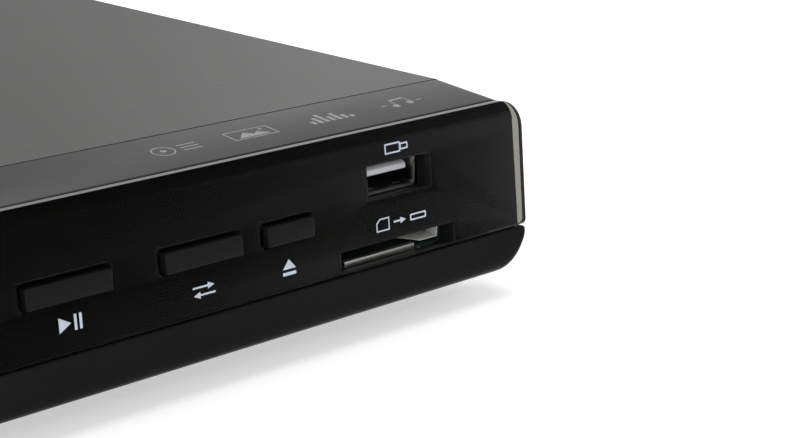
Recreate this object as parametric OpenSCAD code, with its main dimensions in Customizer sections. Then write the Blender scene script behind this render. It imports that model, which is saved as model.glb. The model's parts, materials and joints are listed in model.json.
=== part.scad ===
// A slim disc player with a motor-driven tray, a USB port and a memory-card slot.
// +X is to the right seen from the front, +Y to the back, +Z up. The origin lies on the
// surface that the player stands on, at the middle of its width and depth.

/* [Case] */
// Overall width, across the front
case_w = 360; // [350:1:400]
// Overall depth, from the button faces to the tips of the jacks
case_d = 240; // [238:1:280]
// How far the steel cover's side stands in from the end of the front
cover_inset = 4; // [3.5:0.1:6]
// Thickness of the steel sheet of the case
sheet_t = 0.8; // [0.6:0.1:1]
// Outer radius of the cover's bent edges
cover_r = 1.5; // [1:0.1:3]
// Gap between parts of the case that are only laid together
seam = 0.35; // [0.2:0.05:0.6]
// Height of the feet under the steel base
foot_h = 5; // [4:0.5:8]
// Radius of a foot
foot_r = 9; // [6:0.5:12]
// Distance of the feet's middle from the ends of the front
foot_in = 30; // [24:1:50]
// Distance of the feet's middle from the button faces and from the jacks' tips
foot_end = 32; // [28:1:50]
// Width of a ventilation slot
vent_w = 3; // [2:0.1:4]
// Pitch of the ventilation slots
vent_pitch = 7; // [6:0.5:10]

/* [Front] */
// Lean of the front, its top further back, in degrees
lean = 5; // [0:0.5:8]
// Thickness of the smoked front panel
lens_t = 2; // [1.5:0.1:3]
// Height of the smoked front panel
lens_h = 25.8; // [25:0.1:28]
// Radius of the panel's top corners
lens_r = 6; // [3:0.5:9]
// Radius of the panel's bottom corners
lens_foot_r = 1; // [0.5:0.1:2]
// Glue line behind the panel
glue_t = 0.1; // [0.05:0.05:0.3]
// Height of the lower strip under the panel
chin_h = 9.6; // [8:0.1:12]
// Corner radius of the lower strip, seen from the front
chin_corner = 6; // [3:0.5:8]
// Radius under the lower strip, seen from the side
chin_round = 5; // [3:0.5:7]
// Groove between the panel and the lower strip
groove_h = 0.5; // [0.3:0.1:1]
// Depth of that groove
groove_depth = 1.05; // [0.5:0.05:1.5]
// How far the moulding behind the panel stops short of its ends
mould_inset = 1.2; // [0.5:0.1:2]
// Corner radius of the moulding behind the panel
mould_r = 5; // [3:0.5:8]
// Wall thickness of the front moulding
mould_t = 2; // [1.6:0.1:2.6]
// Depth of the strip on top of the front, from front edge to the cover's seam
strip_d = 16.4; // [12:0.1:20]
// Fall of that strip towards the front, in degrees
strip_fall = 4.9; // [0:0.1:8]
// Step from the panel's top edge down to that strip
strip_step = 0.12; // [0:0.02:0.4]

/* [Buttons] */
// Height of a button's face
button_h = 3.7; // [3:0.1:5]
// Height of the buttons' lower edge over the groove, along the panel
button_v = 9.4; // [8:0.1:11]
// How far a button stands out of the panel
button_proud = 1.25; // [0.6:0.05:2]
// Width of the play button
play_w = 16.5; // [12:0.1:18]
// Middle of the play button, from the right end of the front
play_in = 106.9; // [104:0.1:110]
// Width of the sound button
sound_w = 16.4; // [12:0.1:18]
// Middle of the sound button, from the right end
sound_in = 80; // [79:0.1:84]
// Width of the eject button
eject_w = 10.7; // [8:0.1:12]
// Middle of the eject button, from the right end
eject_in = 60.9; // [59:0.1:63]
// Width of the standby button
standby_w = 12; // [8:0.1:14]
// Gap round a button in the panel
button_gap = 0.4; // [0.2:0.05:0.6]
// Travel of a button
button_travel = 0.6; // [0.3:0.05:0.8]
// Side of a push switch
switch_w = 6; // [5:0.1:7]
// Height of a push switch over its board
switch_h = 3.5; // [3:0.1:4.5]
// Radius of a push switch's plunger
plunger_r = 1.7; // [1.2:0.1:2]

/* [Ports] */
// Middle of the USB port, from the right end of the front
usb_in = 33.5; // [32:0.1:36]
// Width of the panel's window for the USB port
usb_window_w = 16; // [15:0.1:17]
// Lower edge of that window, along the panel
usb_window_v = 13; // [12.8:0.1:13.5]
// Height of that window
usb_window_h = 6.5; // [6.2:0.1:7]
// Inner width of the USB shell
usb_w = 12.5; // [12:0.1:13]
// Inner height of the USB shell
usb_h = 5.1; // [4.8:0.1:5.2]
// Width of the USB tongue
tongue_w = 11.1; // [10.5:0.1:11.4]
// Thickness of the USB tongue
tongue_t = 1.84; // [1.5:0.02:2]
// Middle of the card slot, from the right end of the front
card_in = 34.6; // [33:0.1:36]
// Width of the panel's window for the card
card_window_w = 29; // [28:0.1:31]
// Height of that window
card_window_h = 3.9; // [3.6:0.1:4.2]
// Width of the card's way in
card_w = 24.4; // [24.1:0.1:25]
// Height of the card's way in
card_h = 3; // [2.4:0.1:3.1]
// Sheet thickness of the port shells
shell_t = 0.35; // [0.25:0.05:0.5]

/* [Tray] */
// Middle of the tray and its loader
load_x = -67.5; // [-70:0.5:-66]
// Width of the tray's front door
door_w = 137; // [134:1:138]
// Height of the tray's front door
door_h = 19; // [18.6:0.1:19.4]
// Lower edge of the door, along the panel
door_v = 3.5; // [3.2:0.1:3.7]
// Gap round the door
door_gap = 0.5; // [0.3:0.1:0.8]
// Width of the tray without its runners
tray_w = 130; // [128:1:131]
// Height of the tray
tray_h = 7; // [6.5:0.1:7.5]
// Height of the tray's underside over the table
tray_z = 24; // [23.9:0.1:24.5]
// Distance from the disc's middle to the tray's rear end
tray_rear = 92; // [86:1:94]
// Travel of the tray
tray_travel = 138; // [120:1:140]
// Radius of the well for a full-size disc
well_r = 60.6; // [60.3:0.1:61.5]
// Radius of the well for a small disc
small_well_r = 40.6; // [40.3:0.1:41.5]
// Half width of the slot for the turntable and the pickup
tray_slot = 17.5; // [15:0.5:19]
// Side play of the tray's runners
runner_play = 0.3; // [0.15:0.05:0.5]

/* [Drive] */
// Distance of the disc's middle behind the button faces
disc_in = 78; // [77:0.5:79]
// Tooth size (module) of the tray's rack and its gear
rack_m = 1; // [0.9:0.05:1.05]
// Teeth of the gear that drives the tray
rack_teeth = 18; // [17:1:19]
// Tooth size (module) of the small gears
fine_m = 0.8; // [0.7:0.05:0.85]
// Teeth of the large wheel of the drive gear
wheel_teeth = 40; // [38:1:41]
// Teeth of the pulley's gear
pulley_teeth = 15; // [14:1:16]
// Belt-line radius of the large pulley
pulley_r = 10; // [8:0.5:10.5]
// Belt-line radius of the motor's pulley
motor_pulley_r = 3; // [2.5:0.1:4]
// Thickness of the belt
belt_t = 1.2; // [1:0.1:1.4]
// Radial running gap of the shafts
run_gap = 0.05; // [0.02:0.01:0.09]
// Backlash of the gears, on each flank
backlash = 0.06; // [0.03:0.01:0.1]
// Radius of the drive motor
motor_r = 12; // [10:0.5:12.5]

/* [Optics] */
// Height of the playing disc over the tray's well
disc_lift = 1.6; // [1.4:0.1:2]
// Radius of the turntable's rim
table_r = 13; // [11:0.5:14]
// Radius of the hub that centres the disc
hub_r = 7.4; // [7.2:0.1:7.45]
// Angle by which the optical unit tips down, in degrees
tip_angle = 2.8; // [1:0.1:2.9]
// Travel of the slider that lowers the optical unit
cam_travel = 12; // [10:0.5:14]
// Distance of the optical unit's pivot behind the disc's middle
pivot_back = 86; // [84:1:88]
// Radius of the pickup's guide rods
rod_r = 1.5; // [1:0.1:1.6]
// Distance of a guide rod from the middle
rod_x = 21; // [20:0.5:21.5]
// Distance of the laser from the disc's middle when it starts to read
read_start = 24; // [23.5:0.5:26]
// Travel of the pickup
sled_travel = 34; // [28:1:35]
// Teeth of the pickup's gear
sled_teeth = 15; // [14:1:16]
// Teeth of the large wheel on that gear
sled_wheel_teeth = 30; // [28:1:30]
// Teeth of the gear on the pickup's motor
sled_pinion_teeth = 12; // [12:1:14]

/* [Boards] */
// Thickness of the circuit boards
board_t = 1.6; // [1:0.1:1.7]
// Width of the main board
main_w = 78; // [70:1:79]
// Gap between the main board and the power board
board_gap = 8; // [6:0.5:10]
// Outer radius of a sound or picture jack
jack_r = 4.15; // [4:0.05:4.3]
// How far the jacks stand out of the rear panel
jack_reach = 8; // [6:0.5:9]
// Pitch of the jacks
jack_pitch = 13; // [12:0.5:14]
// Thread radius of the screws
screw_r = 1.4; // [1:0.1:1.5]
// Head radius of the screws
head_r = 2.7; // [2.4:0.1:2.8]

/* [Hidden] */
$fn = 48;

// Heights of the case, from the table up
mould_z = foot_h - 0.4;
base_top = foot_h + sheet_t;
ref_z = mould_z + chin_h * cos(lean);
strip_z = ref_z + (groove_h + lens_h) * cos(lean) - strip_step;
seam_z = strip_z + strip_d * tan(strip_fall);
case_h = seam_z + 0.05;
cover_in_z = case_h - sheet_t;
// The front's reference line: the front edge of the groove's lower lip
front_y = -case_d / 2;
ref_y = front_y + button_proud * cos(lean) - button_v * sin(lean);
strip_y = ref_y + (groove_h + lens_h) * sin(lean) + lens_t * cos(lean) + 0.415;
seam_y = strip_y + strip_d;
foot_x = case_w / 2 - foot_in;
foot_y = case_d / 2 - foot_end;
rear_y = case_d / 2 - jack_reach;
cover_w = case_w - 2 * cover_inset;
pan_x = cover_w / 2 - sheet_t - seam;
pan_front = ref_y + 12;
mould_x = case_w / 2 - mould_inset;
wall_u = lens_t + glue_t;
back_u = wall_u + mould_t;
lens_v = groove_h;

// Buttons: middle of the height, and the line that their switches sit on
button_mid = button_v + button_h / 2;
flange_t = 1;
flange_u = back_u + 0.3;
flange_lap = 1.2;
stem_r = 1.5;
press_z = ref_z + button_mid * cos(lean) - (flange_u + flange_t) * sin(lean);
board_y = ref_y + 16;
plunger_y = board_y - switch_h - 0.9;
front_board_z = [20, cover_in_z - 2.7];
play_x = case_w / 2 - play_in;
sound_x = case_w / 2 - sound_in;
eject_x = case_w / 2 - eject_in;
usb_x = case_w / 2 - usb_in;
card_x = case_w / 2 - card_in;
door_x = [load_x - door_w / 2, load_x + door_w / 2];
// The standby button sits halfway between the door and the end wall
standby_x = (mould_t - mould_x + door_x[0] - door_gap) / 2;
standby_board = 10.4;
eye_x = door_x[1] + 13;
eye_r = 3;
display_x = [door_x[1] + 22, play_x - play_w / 2 - 8.85];

// Loader: heights of its levels
disc_y = front_y + disc_in;
frame_z = 8;
frame_floor = 2;
frame_x = 71;
frame_front = disc_y - 70;
frame_rear = disc_y + 102;
wall_in = tray_w / 2 + 0.6;
runner_w = 2;
runner_h = 2;
tray_front = ref_y + 7.1;
well_z = tray_z + 3.6;
small_well_z = tray_z + 2.4;
rack_x = load_x + 50;
rack_z = tray_z - 3.5;
gear_r = rack_m * rack_teeth / 2;
wheel_r = fine_m * wheel_teeth / 2;
pulley_gear_r = fine_m * pulley_teeth / 2;
drive_x = rack_x - gear_r;
drive_y = disc_y - 50;
pulley_x = drive_x - wheel_r - pulley_gear_r;
motor_x = pulley_x - 33;
axle_r = 1.5;
wheel_z = frame_z + frame_floor + 3.2;
wheel_t = 3.6;
belt_z = tray_z - 2;
belt_play = 0.08;
deck_z = [tray_z - 5.6, tray_z - 4];
disc_z = well_z + disc_lift;
bridge_z = disc_z + 5.8;
bridge_t = 1;

// Optical unit
pivot_y = disc_y + pivot_back;
lift_front = disc_y - 28;
lift_rear = pivot_y + 4;
lift_x = 52;
lift_in = 43;
plate_z = tray_z - 7.3;
plate_t = 1.1;
lift_z = plate_z - 4.7;
lift_t = 3;
pivot_z = lift_z + 2;
pivot_r = 2;
pin_r = 1.5;
pin_x = 20;
pin_z = lift_z + 6.7;
pin_y = lift_front - 3.25;
cam_y = lift_front - 4.5;
cam_t = 2.5;
cam_z = frame_z + frame_floor + 0.2;
cam_drop = (pivot_y - pin_y) * sin(tip_angle);
damper_x = 47.5;
damper_y = [lift_front + 8, pivot_y - 14];
damper_r = 4.2;
spindle_z = plate_z - 5.7;
shaft_r = 0.75;
sled_gear_r = fine_m * sled_teeth / 2;
sled_wheel_r = fine_m * sled_wheel_teeth / 2;
sled_pinion_r = fine_m * sled_pinion_teeth / 2;
sled_motor_r = 5.8;
sled_rack_x = load_x + 31;
sled_gear_x = sled_rack_x + sled_gear_r;
sled_gear_y = disc_y + 46;
sled_motor_y = sled_gear_y - sled_wheel_r - sled_pinion_r;
read_y = disc_y + read_start;
rod_z = tray_z - 4.5;
sled_front = read_y - 8;
sled_len = 25;

// Boards
main_x = load_x + frame_x + 10.5;
main_z = 13;
main_front = front_y + 58;
power_x = main_x + main_w + board_gap;
power_w = pan_x - 6.85 - power_x;
power_z = 12;
board_rear = rear_y - sheet_t - 10;
jack_x = main_x + 12;
jack_low = 19.5;
jack_high = 30;
jack_wall = 0.55;
contact_r = 1.75;
inlet_x = power_x + power_w - 30;
inlet_z = 21;
lip_h = 6;
post_r = 3;
head_t = 1.6;

// Pieces placed by more than one module
front_posts = concat(
    [for (x = [eye_x + 5, display_x[1] + 4.5, eject_x + 9.4, usb_x + 18.5]) [x, front_board_z[1] - 3.2]],
    [for (s = [-1, 1]) [standby_x + s * 7.5, front_board_z[1] - 4]]
);
bridge_screws = [for (s = [-1, 1], y = [disc_y - 12, disc_y + 12]) [load_x + s * (frame_x - 2.6), y]];
puck_r = 11;
puck_gap = 0.3;
rack_low = rack_z;
holder_x = 7.5;
holder_y = 5;
holder_z = plate_z + 1.3;
usb_mid = usb_window_v + usb_window_h / 2;
usb_z = ref_z + usb_mid * cos(lean) - 0.3;
usb_front = lp(3.3, usb_mid)[0];
tongue_z = usb_z + usb_h / 2 - 0.65 - tongue_t;
socket_z = ref_z + 0.45;
socket_front = ref_y + 2.95;
socket_rear = socket_front + 27;
socket_posts = [for (s = [-1, 1]) [card_x + s * 17, socket_rear + 4]];
foot_stem_r = 2.5;
chin_lip = 0.6;
ledge_z = [seam_z - mould_t - 0.9, cover_in_z - 0.1];
mould_rear = pan_front - seam;

// Placing helpers
module block(x, y, z) {
    translate([x[0], y[0], z[0]])
        cube([x[1] - x[0], y[1] - y[0], z[1] - z[0]]);
}

module post(x, y, z, r) {
    translate([x, y, z[0]])
        cylinder(r = r, h = z[1] - z[0]);
}

module bar_x(x, y, z, r) {
    translate([x[0], y, z])
        rotate([0, 90, 0])
            cylinder(r = r, h = x[1] - x[0]);
}

module bar_y(x, y, z, r) {
    translate([x, y[0], z])
        rotate([-90, 0, 0])
            cylinder(r = r, h = y[1] - y[0]);
}

module both_sides(x) {
    for (s = [-1, 1])
        translate([s * x, 0, 0])
            children();
}

// An upright slot with round ends, cut along X (length l) and through z
module slot_x(x, y, z, l, w) {
    block([x - l / 2 + w / 2, x + l / 2 - w / 2], [y - w / 2, y + w / 2], z);
    for (s = [-1, 1])
        post(x + s * (l - w) / 2, y, z, w / 2);
}

module round_rect(w, h, r) {
    translate([-w / 2 + r, 0])
        square([w - 2 * r, h]);
    translate([-w / 2, r])
        square([w, h - 2 * r]);
    for (sx = [-1, 1], y = [r, h - r])
        translate([sx * (w / 2 - r), y])
            circle(r = r);
}

// A flat piece between two depths behind the leaning front, from an outline in its plane
module on_front(u) {
    translate([0, ref_y, ref_z])
        rotate([-lean, 0, 0])
            translate([0, u[1], 0])
                rotate([90, 0, 0])
                    linear_extrude(u[1] - u[0])
                        children();
}

module front_rect(x, w, v, h) {
    translate([x - w / 2, v])
        square([w, h]);
}

// A point of the side view: depth u behind the leaning front plane, height v along it
function lp(u, v) = [ref_y + v * sin(lean) + u * cos(lean), ref_z + v * cos(lean) - u * sin(lean)];

// An extrusion along X of an outline drawn in the side view (y, z)
module along_x(x) {
    translate([x[0], 0, 0])
        rotate([90, 0, 90])
            linear_extrude(x[1] - x[0])
                children();
}

// Involute gear outline
pressure = 25;
function roll(rb, r) = r <= rb ? 0 : (sqrt(r * r / rb / rb - 1) * 180 / PI - acos(rb / r));
function flank(m, n, r) =
    let (rp = m * n / 2, rb = rp * cos(pressure))
    90 / n - backlash / rp * 180 / PI + roll(rb, rp) - roll(rb, r);
function polar(r, a) = [r * cos(a), r * sin(a)];
function gear_points(m, n) =
    let (rp = m * n / 2, root = rp - 1.3 * m, tip = rp + 0.95 * m, steps = 4)
    [for (t = [0:n - 1], k = [0:2 * steps + 1])
        let (
            up = k <= steps,
            i = up ? k : 2 * steps + 1 - k,
            r = root + (tip - root) * i / steps,
            a = flank(m, n, r)
        )
        polar(r, 360 * t / n + (up ? -a : a))];

module gear(m, n, z, turn = 0) {
    translate([0, 0, z[0]])
        rotate([0, 0, turn])
            linear_extrude(z[1] - z[0])
                polygon(gear_points(m, n));
}

// Rack teeth along Y on a line at x, their tips towards side (-1 or 1), one tooth at phase
module rack_teeth_bar(m, x, side, y, z, back, phase) {
    pitch = PI * m;
    half = pitch / 4 - backlash;
    slope = tan(pressure) * m;
    block([min(x - side * 1.2 * m, x - side * back), max(x - side * 1.2 * m, x - side * back)], y, z);
    first = ceil((y[0] - phase) / pitch + 0.5);
    last = floor((y[1] - phase) / pitch - 0.5);
    for (i = [first:last])
        translate([x, phase + i * pitch, z[0]])
            linear_extrude(z[1] - z[0])
                polygon([
                    [-side * 1.25 * m, -half - slope * 1.25], [side * 0.95 * m, -half + slope * 0.95],
                    [side * 0.95 * m, half - slope * 0.95], [-side * 1.25 * m, half + slope * 1.25]
                ]);
}

// ---- Case ----

module foot_places() {
    for (x = [-foot_x, foot_x], y = [-foot_y, foot_y])
        translate([x, y, 0])
            children();
}

base_vents = [for (i = [-6:6]) i * vent_pitch * 1.6];
side_screws = [front_y + 60, rear_y - 36];
side_screw_z = 14;
rear_screws = [-foot_x, 0, foot_x];
main_posts = [for (x = [main_x + 5, main_x + main_w - 5], y = [main_front + 6, board_rear - 8]) [x, y]];
power_posts = [for (x = [power_x + 5, power_x + power_w - 5], y = [main_front + 8, board_rear - 8]) [x, y]];
loader_ears = [for (s = [-1, 1], y = [frame_front + 12, frame_rear - 10]) [load_x + s * (frame_x + 5), y]];
hook_x = [load_x - 62.5, load_x + 2.5, main_x + 16, main_x + 46, card_x - 27.4, case_w / 2 - 12];

module chassis_base() {
    color("silver")
        difference() {
            union() {
                block([-pan_x, pan_x], [pan_front, rear_y - sheet_t], [foot_h, base_top]);
                both_sides(pan_x - sheet_t / 2)
                    block([-sheet_t / 2, sheet_t / 2], [pan_front + 14, rear_y - sheet_t], [foot_h, 17]);
                for (p = main_posts)
                    post(p[0], p[1], [base_top, main_z], post_r);
                for (p = power_posts)
                    post(p[0], p[1], [base_top, power_z], post_r);
                for (p = loader_ears)
                    post(p[0], p[1], [base_top, frame_z], 4);
                for (p = socket_posts)
                    post(p[0], p[1], [base_top, socket_z - board_t], post_r);
            }
            for (p = concat(main_posts, power_posts, loader_ears, socket_posts))
                post(p[0], p[1], [foot_h - 1, power_z + 5], screw_r + run_gap);
            foot_places()
                cylinder(r = foot_stem_r + run_gap, h = 12);
            both_sides(pan_x)
                for (y = side_screws)
                    bar_x([-3, 3], y, side_screw_z, screw_r + run_gap);
            for (x = base_vents)
                slot_x(load_x, x * 0.55, [foot_h - 1, base_top + 1], 70, vent_w);
        }
}

module rear_panel() {
    color("silver")
        difference() {
            union() {
                block([-pan_x, pan_x], [rear_y - sheet_t, rear_y], [foot_h, cover_in_z - 0.1]);
                block([-pan_x + 20, pan_x - 20], [rear_y - 9, rear_y - sheet_t],
                    [base_top, base_top + sheet_t]);
            }
            for (i = [0:2], z = [jack_low, jack_high])
                bar_y(jack_x + i * jack_pitch, [rear_y - 3, rear_y + 3], z, jack_r + 0.8);
            bar_y(jack_x + 3 * jack_pitch, [rear_y - 3, rear_y + 3], jack_low, jack_r + 0.8);
            block([inlet_x - 10.3, inlet_x + 10.3], [rear_y - 3, rear_y + 3], [inlet_z - 6.3, inlet_z + 6.3]);
            for (x = rear_screws)
                bar_y(x, [rear_y - 3, rear_y + 3], case_h - lip_h / 2, screw_r + run_gap);
            for (i = [0:15])
                translate([-pan_x + 24.85 + i * vent_pitch, 0, 0])
                    block([-vent_w / 2, vent_w / 2], [rear_y - 3, rear_y + 3], [14, 30]);
        }
}

// The cover's outline from the front: flat top, two sides, bent edges
module cover_outline(w, top, r) {
    translate([-w / 2, foot_h + 0.5])
        square([w, top - foot_h - 0.5 - r]);
    translate([-w / 2 + r, foot_h + 0.5])
        square([w - 2 * r, top - foot_h - 0.5]);
    for (s = [-1, 1])
        translate([s * (w / 2 - r), top - r])
            circle(r = r);
}

module top_cover() {
    front = seam_y + seam;
    rear = rear_y + seam + sheet_t;
    color("dimgray")
        difference() {
            translate([0, rear, 0])
                rotate([90, 0, 0])
                    linear_extrude(rear - front)
                        cover_outline(cover_w, case_h, cover_r);
            translate([0, rear - sheet_t, 0])
                rotate([90, 0, 0])
                    linear_extrude(rear - front)
                        translate([0, -1])
                            cover_outline(cover_w - 2 * sheet_t, cover_in_z + 1, cover_r - sheet_t);
            block([-cover_w / 2 + cover_r + 2, cover_w / 2 - cover_r - 2], [rear - 2, rear + 1],
                [0, case_h - lip_h]);
            both_sides(cover_w / 2)
                for (y = side_screws)
                    bar_x([-3, 3], y, side_screw_z, screw_r + 0.2);
            for (x = rear_screws)
                bar_y(x, [rear_y - 1, rear_y + 3], case_h - lip_h / 2, screw_r + 0.2);
            for (i = [0:9])
                both_sides(cover_w / 2)
                    translate([0, rear_y - 102 + i * vent_pitch, 0])
                        block([-3, 3], [-vent_w / 2, vent_w / 2], [20, 32]);
        }
}

// Side view of the front moulding: the strip on top, the wall, the lower strip and its floor
function chin_arc(r) =
    let (cv = (mould_z + chin_round - ref_z + chin_round * sin(lean)) / cos(lean), c = lp(chin_round, cv))
    [for (a = [180 - lean:(90 + lean) / 10:270.01]) c + r * [cos(a), sin(a)]];

outer_side = concat(
    [[seam_y, seam_z], [strip_y, strip_z]],
    [lp(wall_u, lens_v + lens_h - 0.3), lp(wall_u, lens_v - 0.05), lp(groove_depth, lens_v - 0.05)],
    [lp(groove_depth, 0)],
    [lp(chin_lip, 0), lp(chin_lip * 0.29, -chin_lip * 0.29), lp(0, -chin_lip)],
    chin_arc(chin_round),
    [[mould_rear, mould_z], [mould_rear, mould_z + mould_t]]
);
inner_side = [
    lp(back_u, -chin_h + mould_t + 3), lp(back_u, lens_v + lens_h - 3.2),
    [strip_y + 3, strip_z - mould_t], [seam_y, ledge_z[0]]
];

module button_holes(gap, round_r = 0.4) {
    for (b = [[play_x, play_w], [sound_x, sound_w], [eject_x, eject_w], [standby_x, standby_w]])
        translate([b[0], button_v - gap])
            round_rect(b[1] + 2 * gap, button_h + 2 * gap + 0.35, round_r);
}

module front_bezel() {
    color([0.06, 0.06, 0.065])
        difference() {
            union() {
                intersection() {
                    union() {
                        along_x([-mould_x, mould_x])
                            polygon(concat(outer_side, inner_side));
                        both_sides(mould_x - mould_t / 2)
                            along_x([-mould_t / 2, mould_t / 2])
                                polygon(concat(outer_side, [[seam_y - 1, mould_z + mould_t]]));
                    }
                    translate([0, seam_y + 10, mould_z - 1])
                        rotate([90, 0, 0])
                            linear_extrude(60)
                                round_rect(2 * mould_x, seam_z + 1 - mould_z, mould_r);
                }
                chin();
                block([-pan_x + 2, pan_x - 2], [seam_y - 1.5, seam_y + 5], ledge_z);
                for (x = hook_x)
                    block([x - 4, x + 4], [mould_rear - 3, pan_front + 5], [base_top, base_top + 1.6]);
                for (x = hook_x)
                    block([x - 4, x + 4], [mould_rear - 3, mould_rear], [mould_z + 1, base_top + 1.6]);
                for (p = front_posts)
                    bar_y(p[0], [ref_y + back_u + 0.5, board_y], p[1], post_r);
                for (x = [load_x - 60, load_x + 60])
                    block([x - 3, x + 3], [ref_y + back_u - 0.3, frame_front], [12, 16]);
            }
            on_front([-5, back_u + 3]) {
                button_holes(button_gap, 0.3);
                front_rect(load_x, door_w + 2 * door_gap, door_v - door_gap, door_h + 2 * door_gap);
                front_rect(usb_x, usb_window_w, usb_window_v, usb_window_h);
                front_rect(card_x, card_window_w, 0.35, card_window_h + 1.1);
                front_rect((display_x[0] + display_x[1]) / 2, display_x[1] - display_x[0], 8, 11);
                translate([eye_x, 13.5])
                    circle(r = eye_r);
            }
            for (p = front_posts)
                bar_y(p[0], [board_y - 8, board_y + 1], p[1], screw_r - 0.4 + run_gap);
        }
}

// The lower strip: full width, with round corners seen from the front
module chin() {
    intersection() {
        along_x([-case_w / 2, case_w / 2])
            polygon(concat(
                [lp(back_u, 0), lp(groove_depth, 0), lp(chin_lip, 0)],
                [lp(chin_lip * 0.29, -chin_lip * 0.29), lp(0, -chin_lip)],
                chin_arc(chin_round),
                [[mould_rear, mould_z], [mould_rear, mould_z + mould_t]],
                [[ref_y + back_u + 3, mould_z + mould_t], lp(back_u, -chin_h + mould_t + 3)]
            ));
        translate([0, mould_rear + 5, mould_z])
            rotate([90, 0, 0])
                linear_extrude(40)
                    chin_outline();
    }
}

module chin_outline() {
    h = chin_h + 2;
    difference() {
        round_rect(case_w, h, chin_corner);
        translate([-case_w / 2 - 1, chin_h - chin_lip])
            square([chin_lip + 1, 5]);
        translate([case_w / 2 - chin_lip, chin_h - chin_lip])
            square([chin_lip + 1, 5]);
    }
    translate([-case_w / 2, chin_corner])
        square([case_w, chin_h - chin_lip - chin_corner]);
    for (s = [-1, 1])
        translate([s * (case_w / 2 - chin_lip), chin_h - chin_lip])
            circle(r = chin_lip);
    translate([-case_w / 2 + chin_lip, chin_corner])
        square([case_w - 2 * chin_lip, chin_h - chin_corner]);
}

module lens_outline() {
    top = lens_v + lens_h;
    translate([-case_w / 2 + lens_r, lens_v])
        square([case_w - 2 * lens_r, lens_h]);
    translate([-case_w / 2, lens_v + lens_foot_r])
        square([case_w, lens_h - lens_r - lens_foot_r]);
    for (s = [-1, 1]) {
        translate([s * (case_w / 2 - lens_r), top - lens_r])
            circle(r = lens_r);
        translate([s * (case_w / 2 - lens_foot_r), lens_v + lens_foot_r])
            circle(r = lens_foot_r);
    }
    translate([-case_w / 2 + lens_foot_r, lens_v])
        square([case_w - 2 * lens_foot_r, lens_r]);
}

module front_lens() {
    color([0.12, 0.12, 0.13, 0.85])
        on_front([0, lens_t])
            difference() {
                lens_outline();
                button_holes(button_gap);
                front_rect(load_x, door_w + 2 * door_gap, door_v - door_gap, door_h + 2 * door_gap);
                front_rect(usb_x, usb_window_w, usb_window_v, usb_window_h);
                front_rect(card_x, card_window_w, lens_v + 0.35, card_window_h);
            }
}

module feet() {
    color([0.1, 0.1, 0.1])
        foot_places()
            rotate_extrude()
                polygon([
                    [0, 1], [foot_r - 3, 1], [foot_r - 2.5, 0], [foot_r - 0.5, 0], [foot_r - 0.3, 0.5],
                    [foot_r, foot_h], [foot_stem_r, foot_h], [foot_stem_r, base_top],
                    [foot_stem_r + 0.5, base_top + 0.1], [foot_stem_r - 0.6, base_top + 2], [0, base_top + 2]
                ]);
}

// A pan-head screw along +Z from its head: the head's top at the origin, the thread downwards
module screw(r, hr, length, ht = head_t) {
    translate([0, 0, -ht])
        cylinder(r = hr, h = ht);
    translate([0, 0, -ht - length])
        cylinder(r = r, h = length);
}

module cover_screws() {
    color("gray") {
        for (s = [-1, 1], y = side_screws)
            translate([s * (cover_w / 2 + head_t), y, side_screw_z])
                rotate([0, s * 90, 0])
                    screw(screw_r, head_r, 5);
        for (x = rear_screws)
            translate([x, rear_y + seam + sheet_t + head_t, case_h - lip_h / 2])
                rotate([-90, 0, 0])
                    screw(screw_r, head_r - 0.1, 4);
    }
}

// ---- Front controls ----

// A moulded cap through the panel, its flange behind the wall and the stem that presses the switch
module button(x, w) {
    color([0.13, 0.13, 0.135]) {
        on_front([-button_proud, flange_u])
            front_rect(x, w, button_v, button_h);
        on_front([flange_u, flange_u + flange_t])
            front_rect(x, w + 2 * flange_lap, button_v - flange_lap, button_h + 2 * flange_lap);
        bar_y(x, [lp(flange_u, button_mid)[0], plunger_y - 0.2], press_z, stem_r);
    }
}

module plunger(x) {
    color([0.7, 0.7, 0.68])
        bar_y(x, [plunger_y, plunger_y + 1.8], press_z, plunger_r);
}

module button_play() { button(play_x, play_w); }
module button_sound() { button(sound_x, sound_w); }
module button_eject() { button(eject_x, eject_w); }
module button_standby() { button(standby_x, standby_w); }
module plunger_play() { plunger(play_x); }
module plunger_sound() { plunger(sound_x); }
module plunger_eject() { plunger(eject_x); }
module plunger_standby() { plunger(standby_x); }

module front_boards() {
    y = [board_y, board_y + board_t];
    color([0.1, 0.35, 0.2])
        difference() {
            union() {
                block([eye_x - 6, usb_x + 23.5], y, front_board_z);
                block([standby_x - standby_board, standby_x + standby_board], y, front_board_z);
                block([card_x - 20, card_x + 20], [ref_y + back_u + 0.6, socket_rear + 8],
                    [socket_z - board_t, socket_z]);
            }
            for (p = front_posts)
                bar_y(p[0], [board_y - 1, board_y + 5], p[1], screw_r - 0.3);
            for (p = socket_posts)
                post(p[0], p[1], [socket_z - 3, socket_z + 3], screw_r + 0.1);
        }
}

module tact_switches() {
    color([0.2, 0.2, 0.2])
        for (x = [play_x, sound_x, eject_x, standby_x])
            difference() {
                block([x - switch_w / 2, x + switch_w / 2], [board_y - switch_h, board_y],
                    [press_z - switch_w / 2, press_z + switch_w / 2]);
                bar_y(x, [board_y - switch_h - 1, board_y - switch_h + 2.2], press_z, plunger_r + run_gap);
            }
}

module display() {
    color([0.15, 0.13, 0.12])
        block([display_x[0] + 1, display_x[1] - 1], [board_y - 9, board_y], [22.6, 31.6]);
}

module ir_receiver() {
    color([0.2, 0.05, 0.08]) {
        block([eye_x - 3, eye_x + 3], [board_y - 5, board_y], [24, 31]);
        translate([eye_x, board_y - 5, 27.5])
            rotate([90, 0, 0])
                cylinder(r = 2.4, h = 1.5);
    }
}

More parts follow.
